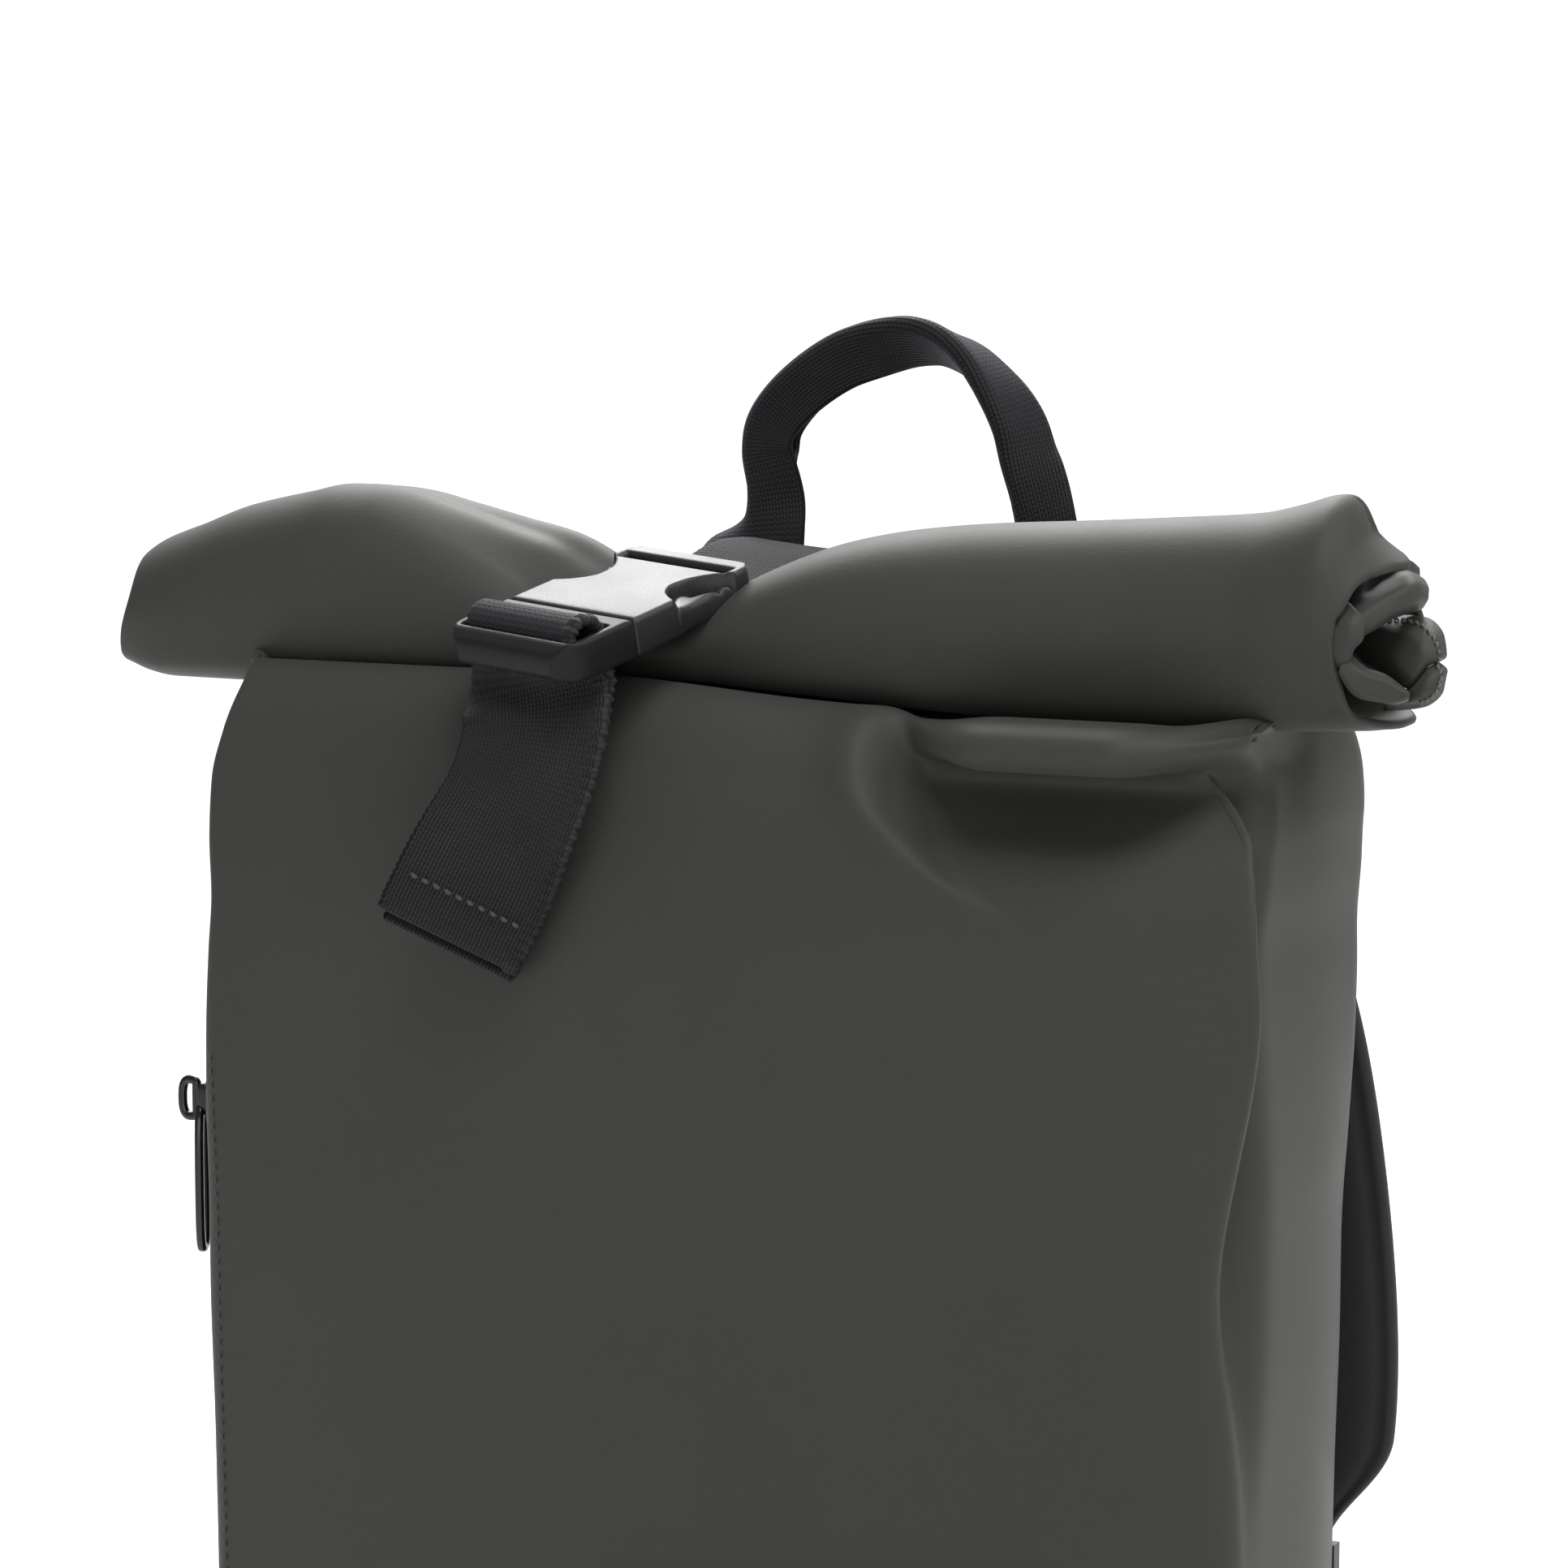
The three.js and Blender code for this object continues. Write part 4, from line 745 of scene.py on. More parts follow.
def ragged(share, side):
    """How far the cut edge of a webbing stands out: three waves of different length, added up."""
    waves = sum(np.sin(share * 2 * math.pi * k + k * side) / n for k, n in ((37, 2), (61, 2.4), (97, 3)))
    return FRAY * waves


def layered(path, across, width, thick, rows, columns, gap, seed):
    """A ribbon whose right edge is thick and frayed: the slab thickens to gap over its last 3 mm."""
    line, along, length = walk(path, rows)
    share = np.linspace(0, 1, rows)
    side = across(share[:, None])
    side = unit(side - along * np.sum(side * along, -1, keepdims=True))
    offset = np.concatenate([np.linspace(-0.5, 0.4, columns - 8), np.linspace(0.42, 0.5, 8)])[None, :]
    loops = 0.2 * np.sin(share[:, None] * length * 3.1) * (offset < -0.49)
    fray = ragged(share, seed)[:, None] * (offset > 0.49) + loops
    grid = line[:, None, :] + side[:, None, :] * (offset * width + fray)[..., None]
    swollen = thick + (gap - thick) * ease(offset, 0.4, 0.455) * (1 - 0.35 * ease(offset, 0.48, 0.5))
    swollen = swollen * (1 + 0.22 * np.sin(share[:, None] * length * 2.3 + seed) * (offset > 0.44))
    return slab(grid, swollen)


points, faces, uv = layered(front_path, tail_side, WEB_W, WEB_T, 420, 30, 2.9, 1)
make_piece("front_webbing", points, faces, uv, node="front_strap", look=WEBBING)

# %% [markdown]
# The hem is the same webbing folded behind itself: a second short ribbon that starts at the tail's end, turns on a
# small half circle and goes back up behind it. Its stitches lie across the front.

# %% Hem and stitches
_, tail_line, strap_run = walk(front_path, 420)
print("front strap runs", round(strap_run), "mm without its hem")
down = unit(tail_line[-1])
hem_side = unit(FACING - down * FACING.dot(down))
hem_face = np.cross(down, hem_side)
hem_face *= -np.sign(hem_face[1])
hem_angle = np.linspace(0, math.pi, 7)[1:-1]
HEM_RADIUS = 1.7
hem_path = np.concatenate([
    [tail_end - down * 1.5 + hem_face * 0.3, tail_end + hem_face * 0.1],
    [tail_end - hem_face * HEM_RADIUS * (1 - math.cos(a)) + down * 2.6 * math.sin(a) for a in hem_angle],
    [tail_end - hem_face * 2 * HEM_RADIUS, tail_end - hem_face * 3.8 - down * 8,
     tail_end - hem_face * 3.2 - down * 15]])


def along_hem(s):
    return np.broadcast_to(hem_side, (len(s), 3))


points, faces, uv = layered(hem_path, along_hem, WEB_W - 0.4, WEB_T, 120, 30, 3.2, 2)
make_piece("tail_hem", points, faces, uv, node="front_strap", look=WEBBING)
second = hem_path[4:] - hem_face * 2 + down * 3.2 + hem_side * 1.2
points, faces, uv = layered(second, along_hem, WEB_W - 3, WEB_T, 60, 30, 3, 3)
make_piece("tail_hem_inner", points, faces, uv, node="front_strap", look=WEBBING)


def stitches(starts, ends, lift, thick=0.75):
    """Threads that lie on the cloth: each a tube along its stitch, bowed out by lift in its middle. starts and ends
    are rows of points, lift the directions away from the cloth."""
    steps, sides = 7, 6
    t = np.linspace(0, 1, steps)[None, :, None]
    starts, ends, lift = (np.asarray(v, float)[:, None, :] for v in (starts, ends, lift))
    line = mix(starts, ends, t) + lift * thick * (np.sin(math.pi * t) - 0.35)
    along = unit(ends - starts)
    side = unit(np.cross(along, lift))
    angle = np.linspace(0, 2 * math.pi, sides, endpoint=False)[None, None, :, None]
    slim = (0.5 * thick * np.sqrt(1 - (2 * t - 1) ** 2 * 0.96))[..., None]
    rings = line[:, :, None, :] + slim * (np.cos(angle) * side[:, :, None, :] + np.sin(angle) * lift[:, :, None, :])
    count = rings.shape[0]
    body_cells = cells(steps, sides, wrap=True)
    shut = np.stack([np.zeros(2, int), [1, 3], [2, 4], [3, 5]], 1)
    last = (steps - 1) * sides
    one = np.concatenate([body_cells, shut[:, ::-1], shut + last])
    faces_ = (one[None] + (np.arange(count) * steps * sides)[:, None, None]).reshape(-1, 4)
    return rings.reshape(-1, 3), faces_


STITCHES, STITCH_PITCH, STITCH_LENGTH, STITCH_DROP = 10, 3.35, 2.6, 0.35
row_start = tail_end - down * 9 - hem_side * 16.5 + hem_face * (WEB_T / 2)
starts = row_start + hem_side * (np.arange(STITCHES) * STITCH_PITCH)[:, None]
ends = starts + hem_side * STITCH_LENGTH + down * STITCH_DROP
points, faces = stitches(starts, ends, np.broadcast_to(hem_face, (STITCHES, 3)), 1.2)
make_piece("tail_stitches", points, faces, node="front_strap", look=THREAD)

# %% [markdown]
# The hem at the roll's open end is sewn as well. Its stitches follow the flaps, a little inside their edges, and are
# paler than the cloth.


# %% Stitches of the roll's hem
def seam_along(net, row, first, last, count, length, name, inset, thread):
    """Stitches beside one edge of a patch: count of them, at even shares between first and last of that row."""
    sheet = patch(net, 60, 200)
    normal = normals_of(sheet)
    r = int(row * 59)
    centre = np.linspace(first, last, count)
    run = np.linalg.norm(np.diff(sheet[r], axis=0), axis=1).sum()
    half = length / run / 2
    a, b = ((np.clip(centre + side * half, 0, 1) * 199).round().astype(int) for side in (-1, 1))
    lift = normal[r, ((a + b) // 2)]
    facing = np.sign(np.sum(lift * np.array([0.42, -0.9, 0.12]), -1, keepdims=True))
    lift = lift * facing
    points, faces = stitches(sheet[r, a] + lift * inset, sheet[r, b] + lift * inset, lift, 0.8)
    return make_piece(name, points, faces, node="roll_top", look=thread)


seam_along(UPPER_FLAP, 0.33, 0.36, 0.97, 13, 2.3, "hem_stitches_upper", 0.95, PALE_THREAD)
seam_along(LOWER_FLAP, 0.45, 0.1, 0.66, 8, 2.3, "hem_stitches_lower", 0.95, PALE_THREAD)

# %% [markdown]
# ### Grab handle
# Webbing 32 mm wide lies flat at its feet and closes lengthwise over a ridge higher up. The ridge starts in the
# middle of the left foot, goes to the outside of the arch, crosses over the top and runs down the inside on the
# right, so the two free edges show below the arch on the left and outside it on the right.


# %% Grab handle
HANDLE_WIDTH, HANDLE_THICK, HANDLE_FOLD = 32, 1.7, 3.2


def handle_grid(rows=200, columns=33):
    """Across the webbing the direction turns from square to the arms to along them within a few millimetres of the
    ridge. Adding up those directions gives the folded section, and the arms' direction is read from a table."""
    ridge = np.array([
        (-44.5, 61.6, 343), (-44.5, 63, 365), (-44.5, 66, 383), (-44.5, 70, 401), (-46.5, 73, 414), (-49, 74.5, 425),
        (-47.5, 75, 435), (-39, 75.5, 446.5), (-19.5, 75, 459.5), (0, 74, 463.6), (11, 73, 461.2), (19.5, 72.5, 454.6),
        (26.5, 72, 444), (31.5, 72, 433), (34, 72, 423), (38, 71, 412), (42.5, 69, 400), (44, 65.5, 386),
        (44.5, 63, 365), (44.5, 61.6, 343)])
    line, along, length = walk(ridge, rows)
    s = np.linspace(0, 1, rows)
    keys = [0, 0.17, 0.2, 0.23, 0.26, 0.3, 0.45, 0.53, 0.6, 0.7, 0.74, 0.77, 0.8, 0.83, 1]
    turned = smooth_read(keys, [90, 90, 98, 120, 150, 168, 160, 128, 100, 60, 50, 60, 78, 90, 90], s)
    opening = smooth_read(keys, [90, 90, 80, 50, 26, 13, 11, 11, 11, 13, 26, 50, 80, 90, 90], s)
    outward = unit(np.stack([-along[:, 2], np.zeros(rows), along[:, 0]], 1))
    back = unit(np.cross(along, outward))
    back *= np.sign(back[:, 1:2])
    a = np.radians(turned)[:, None]
    arm = np.cos(a) * outward + np.sin(a) * back
    square = np.sin(a) * outward - np.cos(a) * back
    q = np.linspace(-HANDLE_WIDTH / 2, HANDLE_WIDTH / 2, columns)
    q = (q[1:] + q[:-1]) / 2
    bend = np.radians(90 - opening)[:, None] * np.clip(np.abs(q)[None, :] / HANDLE_FOLD, 0, 1) ** 0.8
    spread, drop = np.cos(bend), np.sin(bend) * np.sign(q)
    step = HANDLE_WIDTH / (columns - 1)
    spread = np.concatenate([np.zeros((rows, 1)), np.cumsum(spread, 1)], 1) * step
    drop = np.concatenate([np.zeros((rows, 1)), np.cumsum(drop, 1)], 1) * step
    centre = columns // 2
    spread -= spread[:, centre:centre + 1]
    drop -= drop[:, centre:centre + 1]
    return line[:, None, :] + square[:, None, :] * spread[..., None] + arm[:, None, :] * drop[..., None]


handle_sheet = handle_grid()
points, faces, uv = slab(handle_sheet, HANDLE_THICK)
make_piece("handle_webbing", points, faces, uv, node="grab_handle", look=HANDLE_WEB)

# %% [markdown]
# ## Buckle
# A side-release buckle for 40 mm webbing, moulded in black plastic. Each half is a plate seen from above as a
# grid whose top and bottom heights fall away in a quarter circle near every edge, with whole cells left out for
# the slots. That gives round edges everywhere without cutting anything.


# %% Plate with slots
def slotted_plate(long_breaks, half_width, holes, top, bottom, rounding, pitch=0.5):
    """A plate over a grid of lengths s and shares r of the half width. holes are (from, to, share) rectangles.
    Height = top(s, x) less rounding's quarter circle of the distance to the nearest edge, and the same below."""
    s = np.unique(np.concatenate([np.linspace(a, b, max(2, round((b - a) / pitch) + 1))
                                  for a, b in zip(long_breaks[:-1], long_breaks[1:])]))
    shares = sorted({-1.0, 1.0, *(h[2] for h in holes), *(-h[2] for h in holes)})
    r = np.unique(np.concatenate([np.linspace(a, b, max(2, round((b - a) * 24 / pitch) + 1))
                                  for a, b in zip(shares[:-1], shares[1:])]))
    ends = np.minimum(s - s[0], s[-1] - s)[:, None]
    half = half_width(s)[:, None]
    x = r[None, :] * half
    to_edge = np.minimum(np.minimum(half - np.abs(x), ends), 99)
    long = np.broadcast_to(s[:, None], x.shape)
    mid_s = (s[1:] + s[:-1])[:, None] / 2
    mid_r = (r[1:] + r[:-1])[None, :] / 2
    solid = np.ones((len(s) - 1, len(r) - 1), bool)
    for start, end, share in holes:
        solid &= ~((mid_s > start) & (mid_s < end) & (np.abs(mid_r) < share))
        ds = np.maximum(np.maximum(start - long, long - end), 0)
        dx = np.maximum(np.abs(x) - share * half, 0)
        to_edge = np.minimum(to_edge, np.hypot(ds, dx))
    near = np.clip(to_edge / rounding, 0, 1)
    fall = rounding * (1 - np.sqrt(1 - (1 - near) ** 2))
    high = top(long, x) - fall
    low = bottom(long, x) + fall
    count = x.size
    columns = len(r)
    quads = cells(len(s), columns).reshape(len(s) - 1, columns - 1, 4)[solid]
    faces = [quads, quads[:, ::-1] + count]
    padded = np.pad(solid, 1)
    index = np.arange(count).reshape(len(s), columns)
    low_s = padded[1:, 1:-1] & ~padded[:-1, 1:-1]
    high_s = padded[:-1, 1:-1] & ~padded[1:, 1:-1]
    low_r = padded[1:-1, 1:] & ~padded[1:-1, :-1]
    high_r = padded[1:-1, :-1] & ~padded[1:-1, 1:]
    for mask, a, b in ((low_s, index[:, :-1], index[:, 1:]), (high_s, index[:, 1:], index[:, :-1]),
                       (low_r, index[1:, :], index[:-1, :]), (high_r, index[:-1, :], index[1:, :])):
        p, q = a[mask], b[mask]
        faces.append(np.stack([p, p + count, q + count, q], 1))
    points = np.concatenate([on_buckle(x.ravel(), long.ravel(), high.ravel()),
                             on_buckle(x.ravel(), long.ravel(), low.ravel())])
    return points, np.concatenate(faces)


def drop_loose(points, faces):
    """Only the points that a face uses."""
    used = np.unique(faces)
    place = np.zeros(len(points), int)
    place[used] = np.arange(len(used))
    return points[used], place[faces]


# %% Plug
def plug_half(s):
    return smooth_read([0, 1, 3, 6, 9, PLUG_L], [18, 20, 22.2, 24, 24.5, 24.5], s)


def plug_top(s, x):
    """The frame is full height at its front and sides, low over the bar, and slopes to its front edge."""
    front = ease(s, 0, 4.5)
    bar = ease(s, 4.8, 6.2) * (1 - ease(s, 18.6, 20.4)) * (1 - ease(np.abs(x), 20.4, 21.6))
    return 3.2 + 2.3 * front - 3.9 * bar


def plug_bottom(s, x):
    return -5.5 + 1.6 * (1 - ease(s, 0, 5)) + 0.8 * bar_low(s, x)


def bar_low(s, x):
    return ease(s, 9.4, 10.6) * (1 - ease(s, 14.6, 15.8)) * (1 - ease(np.abs(x), 20, 21.5))


plug_holes = [(6, 10.6, 0.857), (14.6, 19.2, 0.857)]
plug_breaks = [0, 2, 6, 10.6, 14.6, 19.2, PLUG_L]
points, faces = drop_loose(*slotted_plate(plug_breaks, plug_half, plug_holes, plug_top, plug_bottom, 1.5))
make_piece("plug_frame", points, faces, node="buckle_plug", look=SHADED_PLUG_PLASTIC)

# %% [markdown]
# ### Socket
# The housing is full width at its mouth, where a thin seam shows against the plug. Behind the mouth its top
# plate narrows to a waist, and beside the waist lie the two release arms, lower down and behind a dark gap.


# %% Socket
START = PLUG_L + SEAT
END = START + SOCKET_L


def socket_half(s):
    return smooth_read(np.array([0, 16, 19, 24, 30, 34, 40, 44, 46.6, 48]) + START,
                       [24.5, 24.4, 23.6, 22.4, 22.2, 23, 24, 23.6, 21.8, 19.5], s)


def socket_waist(s):
    return smooth_read(np.array([0, 15, 18, 21, 25, 30, 34, 38, 41, 48]) + START,
                       [25, 25, 20, 16.2, 14.2, 15, 17.5, 21.5, 25, 25], s)


def socket_top(s, x):
    """Full height inside the waist, a gap at its edge, and the arms lower down outside it."""
    outside = np.abs(x) - socket_waist(s)
    plate = BUCKLE_T / 2 - 0.18 * (1 - ease(s, START, START + 3))
    arm = 2.6 - 1.2 * ease(outside, 2.5, 8)
    gap = 3.4 * bell(outside, 0.9, 0.8)
    hollow = 3.0 * bell(s, START + 31, 3.4) * ease(outside, 0.4, 1.4) * (1 - ease(outside, 4.2, 5.4))
    return mix(plate, arm - gap - hollow, ease(outside, -0.7, 0.7))


def socket_bottom(s, x):
    return -5.5 + 0 * x


rear_hole = [(END - 9.2, END - 6, 0.857)]
socket_breaks = [START, START + 2, END - 9.2, END - 6, END]
points, faces = drop_loose(*slotted_plate(socket_breaks, socket_half, rear_hole, socket_top, socket_bottom, 1.6))
make_piece("socket_housing", points, faces, node="buckle_socket", look=PLASTIC)

# %% [markdown]
# ## Shoulder straps and lower webbing
# The photograph shows only the edge of one padded strap, so these are plain: a foam pad with crowned faces and a
# bound edge, a ladder lock, and webbing down to the base's corner.


# %% Shoulder straps
PAD_HALF_WIDTH, PAD_HALF_THICK = 30, 4.5
LOWER_WEB_WIDTH, LOWER_WEB_THICK = 25, 1.6


def shoulder_path(side):
    back, reach = 60.3 + 4.5, 116.5
    rows = [(0.5, 0, 336), (0.66, 2.8, 326.2), (0.85, 5.2, 301.1), (0.955, 8, 270.6), (1.02, 15.6, 216.1),
            (1.035, 20, 161.6), (0.995, 18.4, 118)]
    return np.array([(side * reach * share, back + out, z) for share, out, z in rows])


def strap_grid(side, rows=150, columns=44):
    """Rings along the strap: a flat oval whose half circle is raised to a power, thinner at the bound edge."""
    line, along, _ = walk(shoulder_path(side), rows)
    share = np.linspace(0, 1, rows)[:, None]
    wide = unit(np.cross(along, np.array([0, 1.0, 0])))
    deep = np.cross(wide, along)
    taper = 1 - 0.5 * ease(share, 0.86, 1) - 0.25 * (1 - ease(share, 0, 0.2))
    angle = np.linspace(0, 2 * math.pi, columns, endpoint=False)[None, :]
    across = np.sign(np.cos(angle)) * np.abs(np.cos(angle)) ** 0.5
    lift = np.sign(np.sin(angle)) * np.abs(np.sin(angle)) ** 0.62
    groove = 1 - 0.35 * bell(np.abs(across), 0.86, 0.05)
    half_w = PAD_HALF_WIDTH * taper * across
    half_t = PAD_HALF_THICK * lift * groove * (0.55 + 0.45 * ease(np.minimum(share, 1 - share), 0, 0.05))
    return line[:, None, :] + wide[:, None, :] * half_w[..., None] + deep[:, None, :] * half_t[..., None]


def level(s):
    return np.broadcast_to(X_AXIS, (len(s), 3))


for name, side in (("left", -1), ("right", 1)):
    points, faces = tube(strap_grid(side), 0, -1)
    pad = make_piece(f"padded_strap_{name}", points, faces, node=f"shoulder_strap_{name}",
                     look=SHADED_STRAP_CLOTH)
    end = shoulder_path(side)[-1]
    corner = side * (HALF_W - 32)
    web = np.array([(end[0], end[1] - 3.9, 109), (end[0], end[1] - 3.9, 88),
                    (mix(end[0], corner, 0.4), mix(end[1] - 3.9, 61.1, 0.4), mix(88, 22, 0.42)),
                    (corner, 62.6, 44), (corner, 61.4, 22)])
    points, faces, uv = ribbon(web, level, LOWER_WEB_WIDTH, LOWER_WEB_THICK, rows=90)
    make_piece(f"lower_webbing_{name}", points, faces, uv, node=f"lower_web_{name}", look=WEBBING)

# %% [markdown]
# ## Side zip
# A pocket zip on the left side: a tape sewn to the cloth, moulded teeth down its middle, a slider with a D-shaped
# ring of wire, and a long narrow loop as the puller. Each is moulded or woven on the real object, and here each is
# its own piece, so that the ring can hang in the slider and the puller in the ring.

# %% Zip measures
ZIP_Y, ZIP_TOP, ZIP_LENGTH, SLIDER_Z = -43, 266, 172, 244


def side_x(z, out):
    """How far left the body's side is at a height, plus a distance outwards."""
    share = smooth_read(body_steps["height"][1:], body_steps["width"][1:], np.asarray(z, float) / SHOULDER)
    return -HALF_W * share - out


# %% Tape and teeth
def side_sheet(width, out, rows, columns, relief):
    """A strip on the side: straight down in z, across in y, and out of the side by a relief of both."""
    z = np.linspace(ZIP_TOP, ZIP_TOP - ZIP_LENGTH, rows)[:, None]
    y = np.linspace(-width / 2, width / 2, columns)[None, :]
    return np.stack(np.broadcast_arrays(side_x(z, out) - relief(z, y), y + ZIP_Y, z), -1)


tape = side_sheet(16, 0.7, 220, 33, lambda z, y: 0.25 * bell(np.abs(y), 6.6, 0.5) - 0.2 * bell(y, 0, 0.4)
                  + 0.12 * np.sin(z * 2.1) * (np.abs(y) > 7.6))
points, faces, uv = slab(tape, 0.8)
make_piece("zip_ribbon", points, faces, uv, node="zip_tape", look=TAPE)


TEETH_PITCH = 1.5


def tooth_relief(z, y):
    """Teeth from both sides take turns: a rounded ridge at every pitch, which ends past the middle."""
    wave = np.sin(2 * math.pi * (z - ZIP_TOP) / TEETH_PITCH + math.pi * (y > 0))
    return 0.75 * np.clip(wave, 0, 1) ** 0.5 * (1 - ease(np.abs(y), 1.9, 2.4)) + 0.1


points, faces, uv = slab(side_sheet(5, 1.95, 900, 22, tooth_relief), 0.9)
make_piece("zip_row_of_teeth", points, faces, uv, node="zip_teeth", look=PLASTIC)


# %% Slider, ring and puller
def block(centre, sizes):
    """A rounded block: an ellipsoid whose sines and cosines are raised to a small power."""
    power, rows, columns = 0.35, 24, 48
    up = np.linspace(-math.pi / 2, math.pi / 2, rows)[:, None]
    round_ = np.linspace(0, 2 * math.pi, columns, endpoint=False)[None, :]
    parts = (np.cos(up) * np.cos(round_), np.cos(up) * np.sin(round_), np.broadcast_to(np.sin(up), (rows, columns)))
    flat = (np.abs(np.cos(up)), np.abs(np.cos(up)), np.ones((rows, 1)))
    shaped = [np.sign(v) * np.abs(v / np.maximum(f, 1e-9)) ** power * (f ** power if i < 2 else 1)
              for i, (v, f) in enumerate(zip(parts, flat))]
    grid = np.stack(np.broadcast_arrays(*shaped), -1) * np.array(sizes) / 2 + np.array(centre)
    return grid.reshape(-1, 3), cells(rows, columns, wrap=True)


def loop(centre, in_plane, up, half_wide, half_long, wide, thick, corner, foot=None):
    """A closed loop: a path with round corners, swept with a flat oval. foot gives the D shape's straight side."""
    t = np.linspace(0, 2 * math.pi, 96, endpoint=False)
    c, s_ = np.cos(t), np.sin(t)
    across = np.sign(c) * np.abs(c) ** corner * half_wide
    along = np.sign(s_) * np.abs(s_) ** corner * half_long
    if foot is not None:
        across = np.maximum(across, foot)
    path = np.array(centre) + np.multiply.outer(across, in_plane) + np.multiply.outer(along, up)
    tangent = unit(np.roll(path, -1, 0) - np.roll(path, 1, 0))
    flat = np.cross(in_plane, up)
    outward = np.cross(tangent, flat)
    a = np.linspace(0, 2 * math.pi, 16, endpoint=False)[None, :, None]
    ca, sa = (np.sign(v) * np.abs(v) ** 0.7 for v in (np.cos(a), np.sin(a)))
    rings = path[:, None, :] + ca * outward[:, None, :] * wide / 2 + sa * flat * thick / 2
    rings = np.concatenate([rings, rings[:1]], 0)
    return rings.reshape(-1, 3), cells(97, 16, wrap=True)


side = float(side_x(SLIDER_Z, 0))
slider_foot, ring_out = 3.5, 3.5 + 5 + 0.6 + 3.5
plates = [block((side - slider_foot - 1.4, ZIP_Y, SLIDER_Z), (1.6, 8, 14)),
          block((side - slider_foot - 3.9, ZIP_Y, SLIDER_Z), (4.6, 3.2, 9))]
points = np.concatenate([p for p, _ in plates])
faces = np.concatenate([plates[0][1], plates[1][1] + len(plates[0][0])])
make_piece("zip_slider_body", points, faces, node="zip_slider", look=ENAMEL)
LEFT, UPWARD = np.array([-1.0, 0, 0]), np.array([0, 0, 1.0])
points, faces = loop((side - ring_out, ZIP_Y, SLIDER_Z), LEFT, UPWARD, 2.8, 5.3, 2.5, 2.3, 0.75, -1.9)
make_piece("zip_pull_ring", points, faces, node="zip_ring", look=ENAMEL)
HANGING = unit(np.array([-0.3, 1, 0]))
points, faces = loop((side - ring_out + 3.4, ZIP_Y, SLIDER_Z - 23), HANGING, UPWARD, 3.2, 20, 2.8, 2.6, 0.6)
make_piece("zip_puller", points, faces, node="zip_tab", look=ENAMEL)

# %% [markdown]
# The front panel is sewn to the side beside its left edge, and the stitches of that seam show down the corner.

# %% Panel seam
SEAM_LOW, SEAM_HIGH, SEAM_POINTS = 60, 272, 400
corner = outer[:, -2]
seam = corner[(corner[:, 2] > SEAM_LOW) & (corner[:, 2] < SEAM_HIGH)]
seam_line, _, _ = walk(seam[::6], SEAM_POINTS)
at = np.arange(2, SEAM_POINTS - 4, 8)
away = np.broadcast_to(unit(np.array([-0.6, -0.8, 0])), (len(at), 3))
stitch_end = np.minimum(at + 5, SEAM_POINTS - 1)
points, faces = stitches(seam_line[at] + away * 0.12, seam_line[stitch_end] + away * 0.12, away, 0.7)
make_piece("panel_stitches", points, faces, node="body_shell", look=THREAD)

# %% [markdown]
# ## What stays from the solid model
# The ladder locks are hard, plain and behind the bag, so they only get a finish.

# %% Finish the nodes that stay
for name in ("adjuster_left", "adjuster_right"):
    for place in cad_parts[name].material_slots:
        place.material = PLASTIC
    print(name, "wears", PLASTIC.name)

# %% [markdown]
# ## Studio
# A pale floor that curves up into a wall, and soft light: a large box above, one behind for the edges of the roll,
# one on the right for the bag's side, a weak fill from the front, and a wash for the wall.


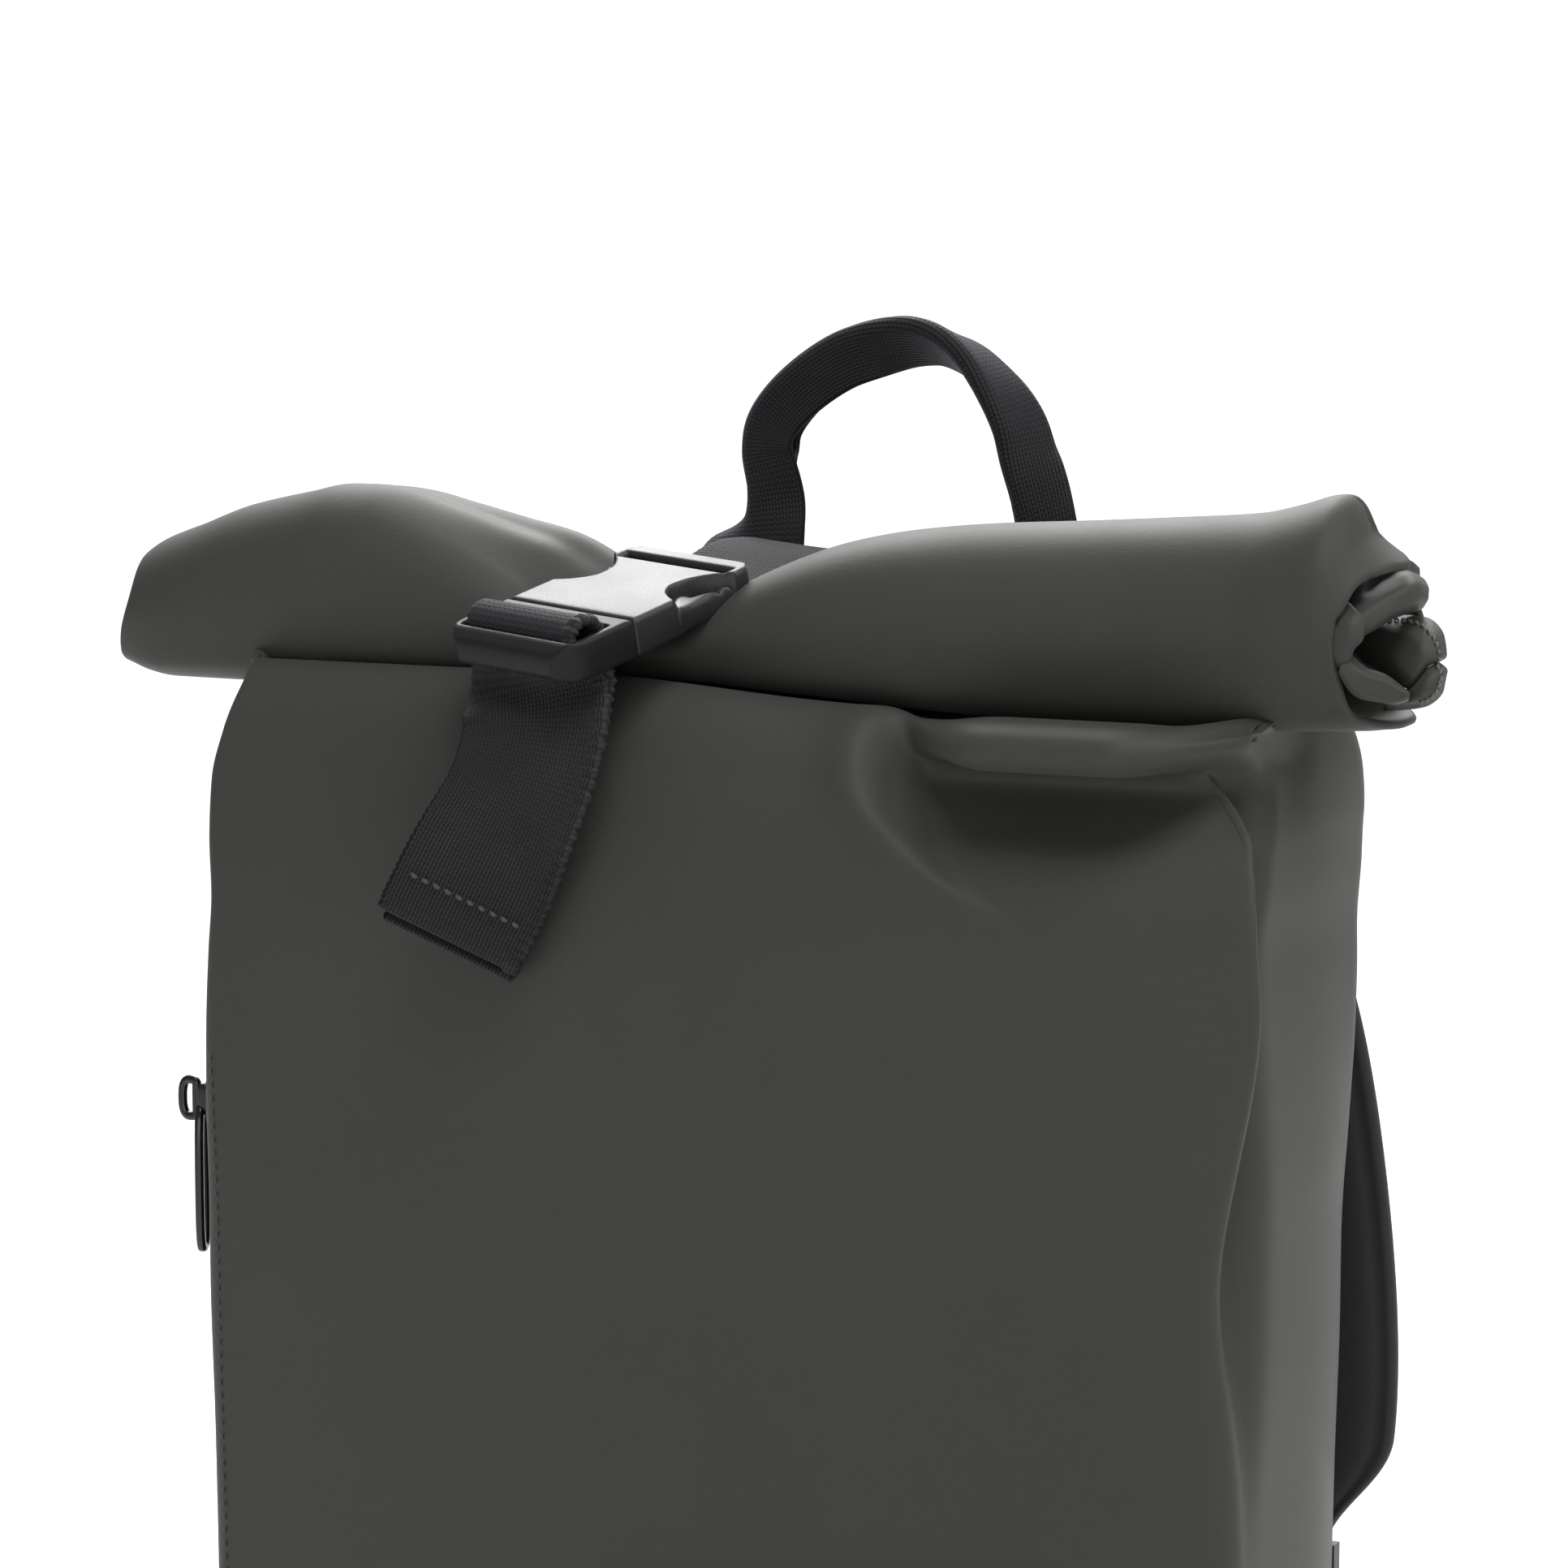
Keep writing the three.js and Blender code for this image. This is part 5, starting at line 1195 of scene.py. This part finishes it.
# %% Floor and wall
def sweep():
    """A floor that turns up into a wall on a quarter circle behind the bag."""
    reach, radius = 3.0, 1.2
    angle = np.linspace(0, math.pi / 2, 24)
    y = np.concatenate([[-4.0], reach + radius * np.sin(angle), [reach + radius]])
    z = np.concatenate([[0], radius - radius * np.cos(angle), [5.0]])
    x = np.linspace(-6, 6, 5)
    turn = AZIMUTH
    grid_x = x[None, :] * math.cos(turn) - y[:, None] * math.sin(turn)
    grid_y = x[None, :] * math.sin(turn) + y[:, None] * math.cos(turn)
    grid = np.stack([grid_x, grid_y, np.broadcast_to(z[:, None], grid_x.shape)], -1)
    mesh = bpy.data.meshes.new("floor")
    mesh.from_pydata(grid.reshape(-1, 3), [], cells(*grid.shape[:2]).tolist())
    mesh.polygons.foreach_set("use_smooth", np.ones(len(mesh.polygons), bool))
    return bpy.data.objects.new("floor", mesh)


floor = sweep()
bpy.context.collection.objects.link(floor)
floor_look, _, _ = new_look("floor_paint", (0.9, 0.9, 0.9), 0.85, Specular_IOR_Level=0.1)
floor.data.materials.append(floor_look)


# %% Lights
def soft_box(name, place, aim, size, power):
    """A rectangular light that looks at a point."""
    lamp = bpy.data.lights.new(name, "AREA")
    lamp.shape, lamp.size, lamp.size_y, lamp.energy = "RECTANGLE", size[0], size[1], power
    box = bpy.data.objects.new(name, lamp)
    back = unit(np.array(place, float) - np.array(aim, float))
    side = unit(np.cross([0, 0, 1.0], back))
    up = np.cross(back, side)
    turn = np.eye(4)
    turn[:3, 0], turn[:3, 1], turn[:3, 2], turn[:3, 3] = side, up, back, place
    box.matrix_world = Matrix(turn)
    bpy.context.collection.objects.link(box)


soft_box("key_box", (0.55, -0.55, 1.95), (0, 0, 0.36), (1.1, 0.8), 19)
soft_box("back_box", (-0.5, 1.1, 1.55), (-0.03, -0.05, 0.39), (1.0, 0.8), 29)
soft_box("right_box", (1.25, 0.3, 1.5), (0.1, 0, 0.34), (0.6, 0.7), 8)
soft_box("front_box", (0.5, -2.3, 0.5), (0, 0, 0.3), (1.8, 0.9), 10)
soft_box("wall_wash", (-1.3, 3.0, 3.0), (-1.5, 3.4, 0), (3.6, 1.6), 95)
world = bpy.data.worlds.new("studio")
world.use_nodes = True
world.node_tree.nodes["Background"].inputs[0].default_value = (1, 1, 1, 1)
world.node_tree.nodes["Background"].inputs[1].default_value = 0.3
bpy.context.scene.world = world
bpy.context.scene.view_settings.view_transform = "Standard"
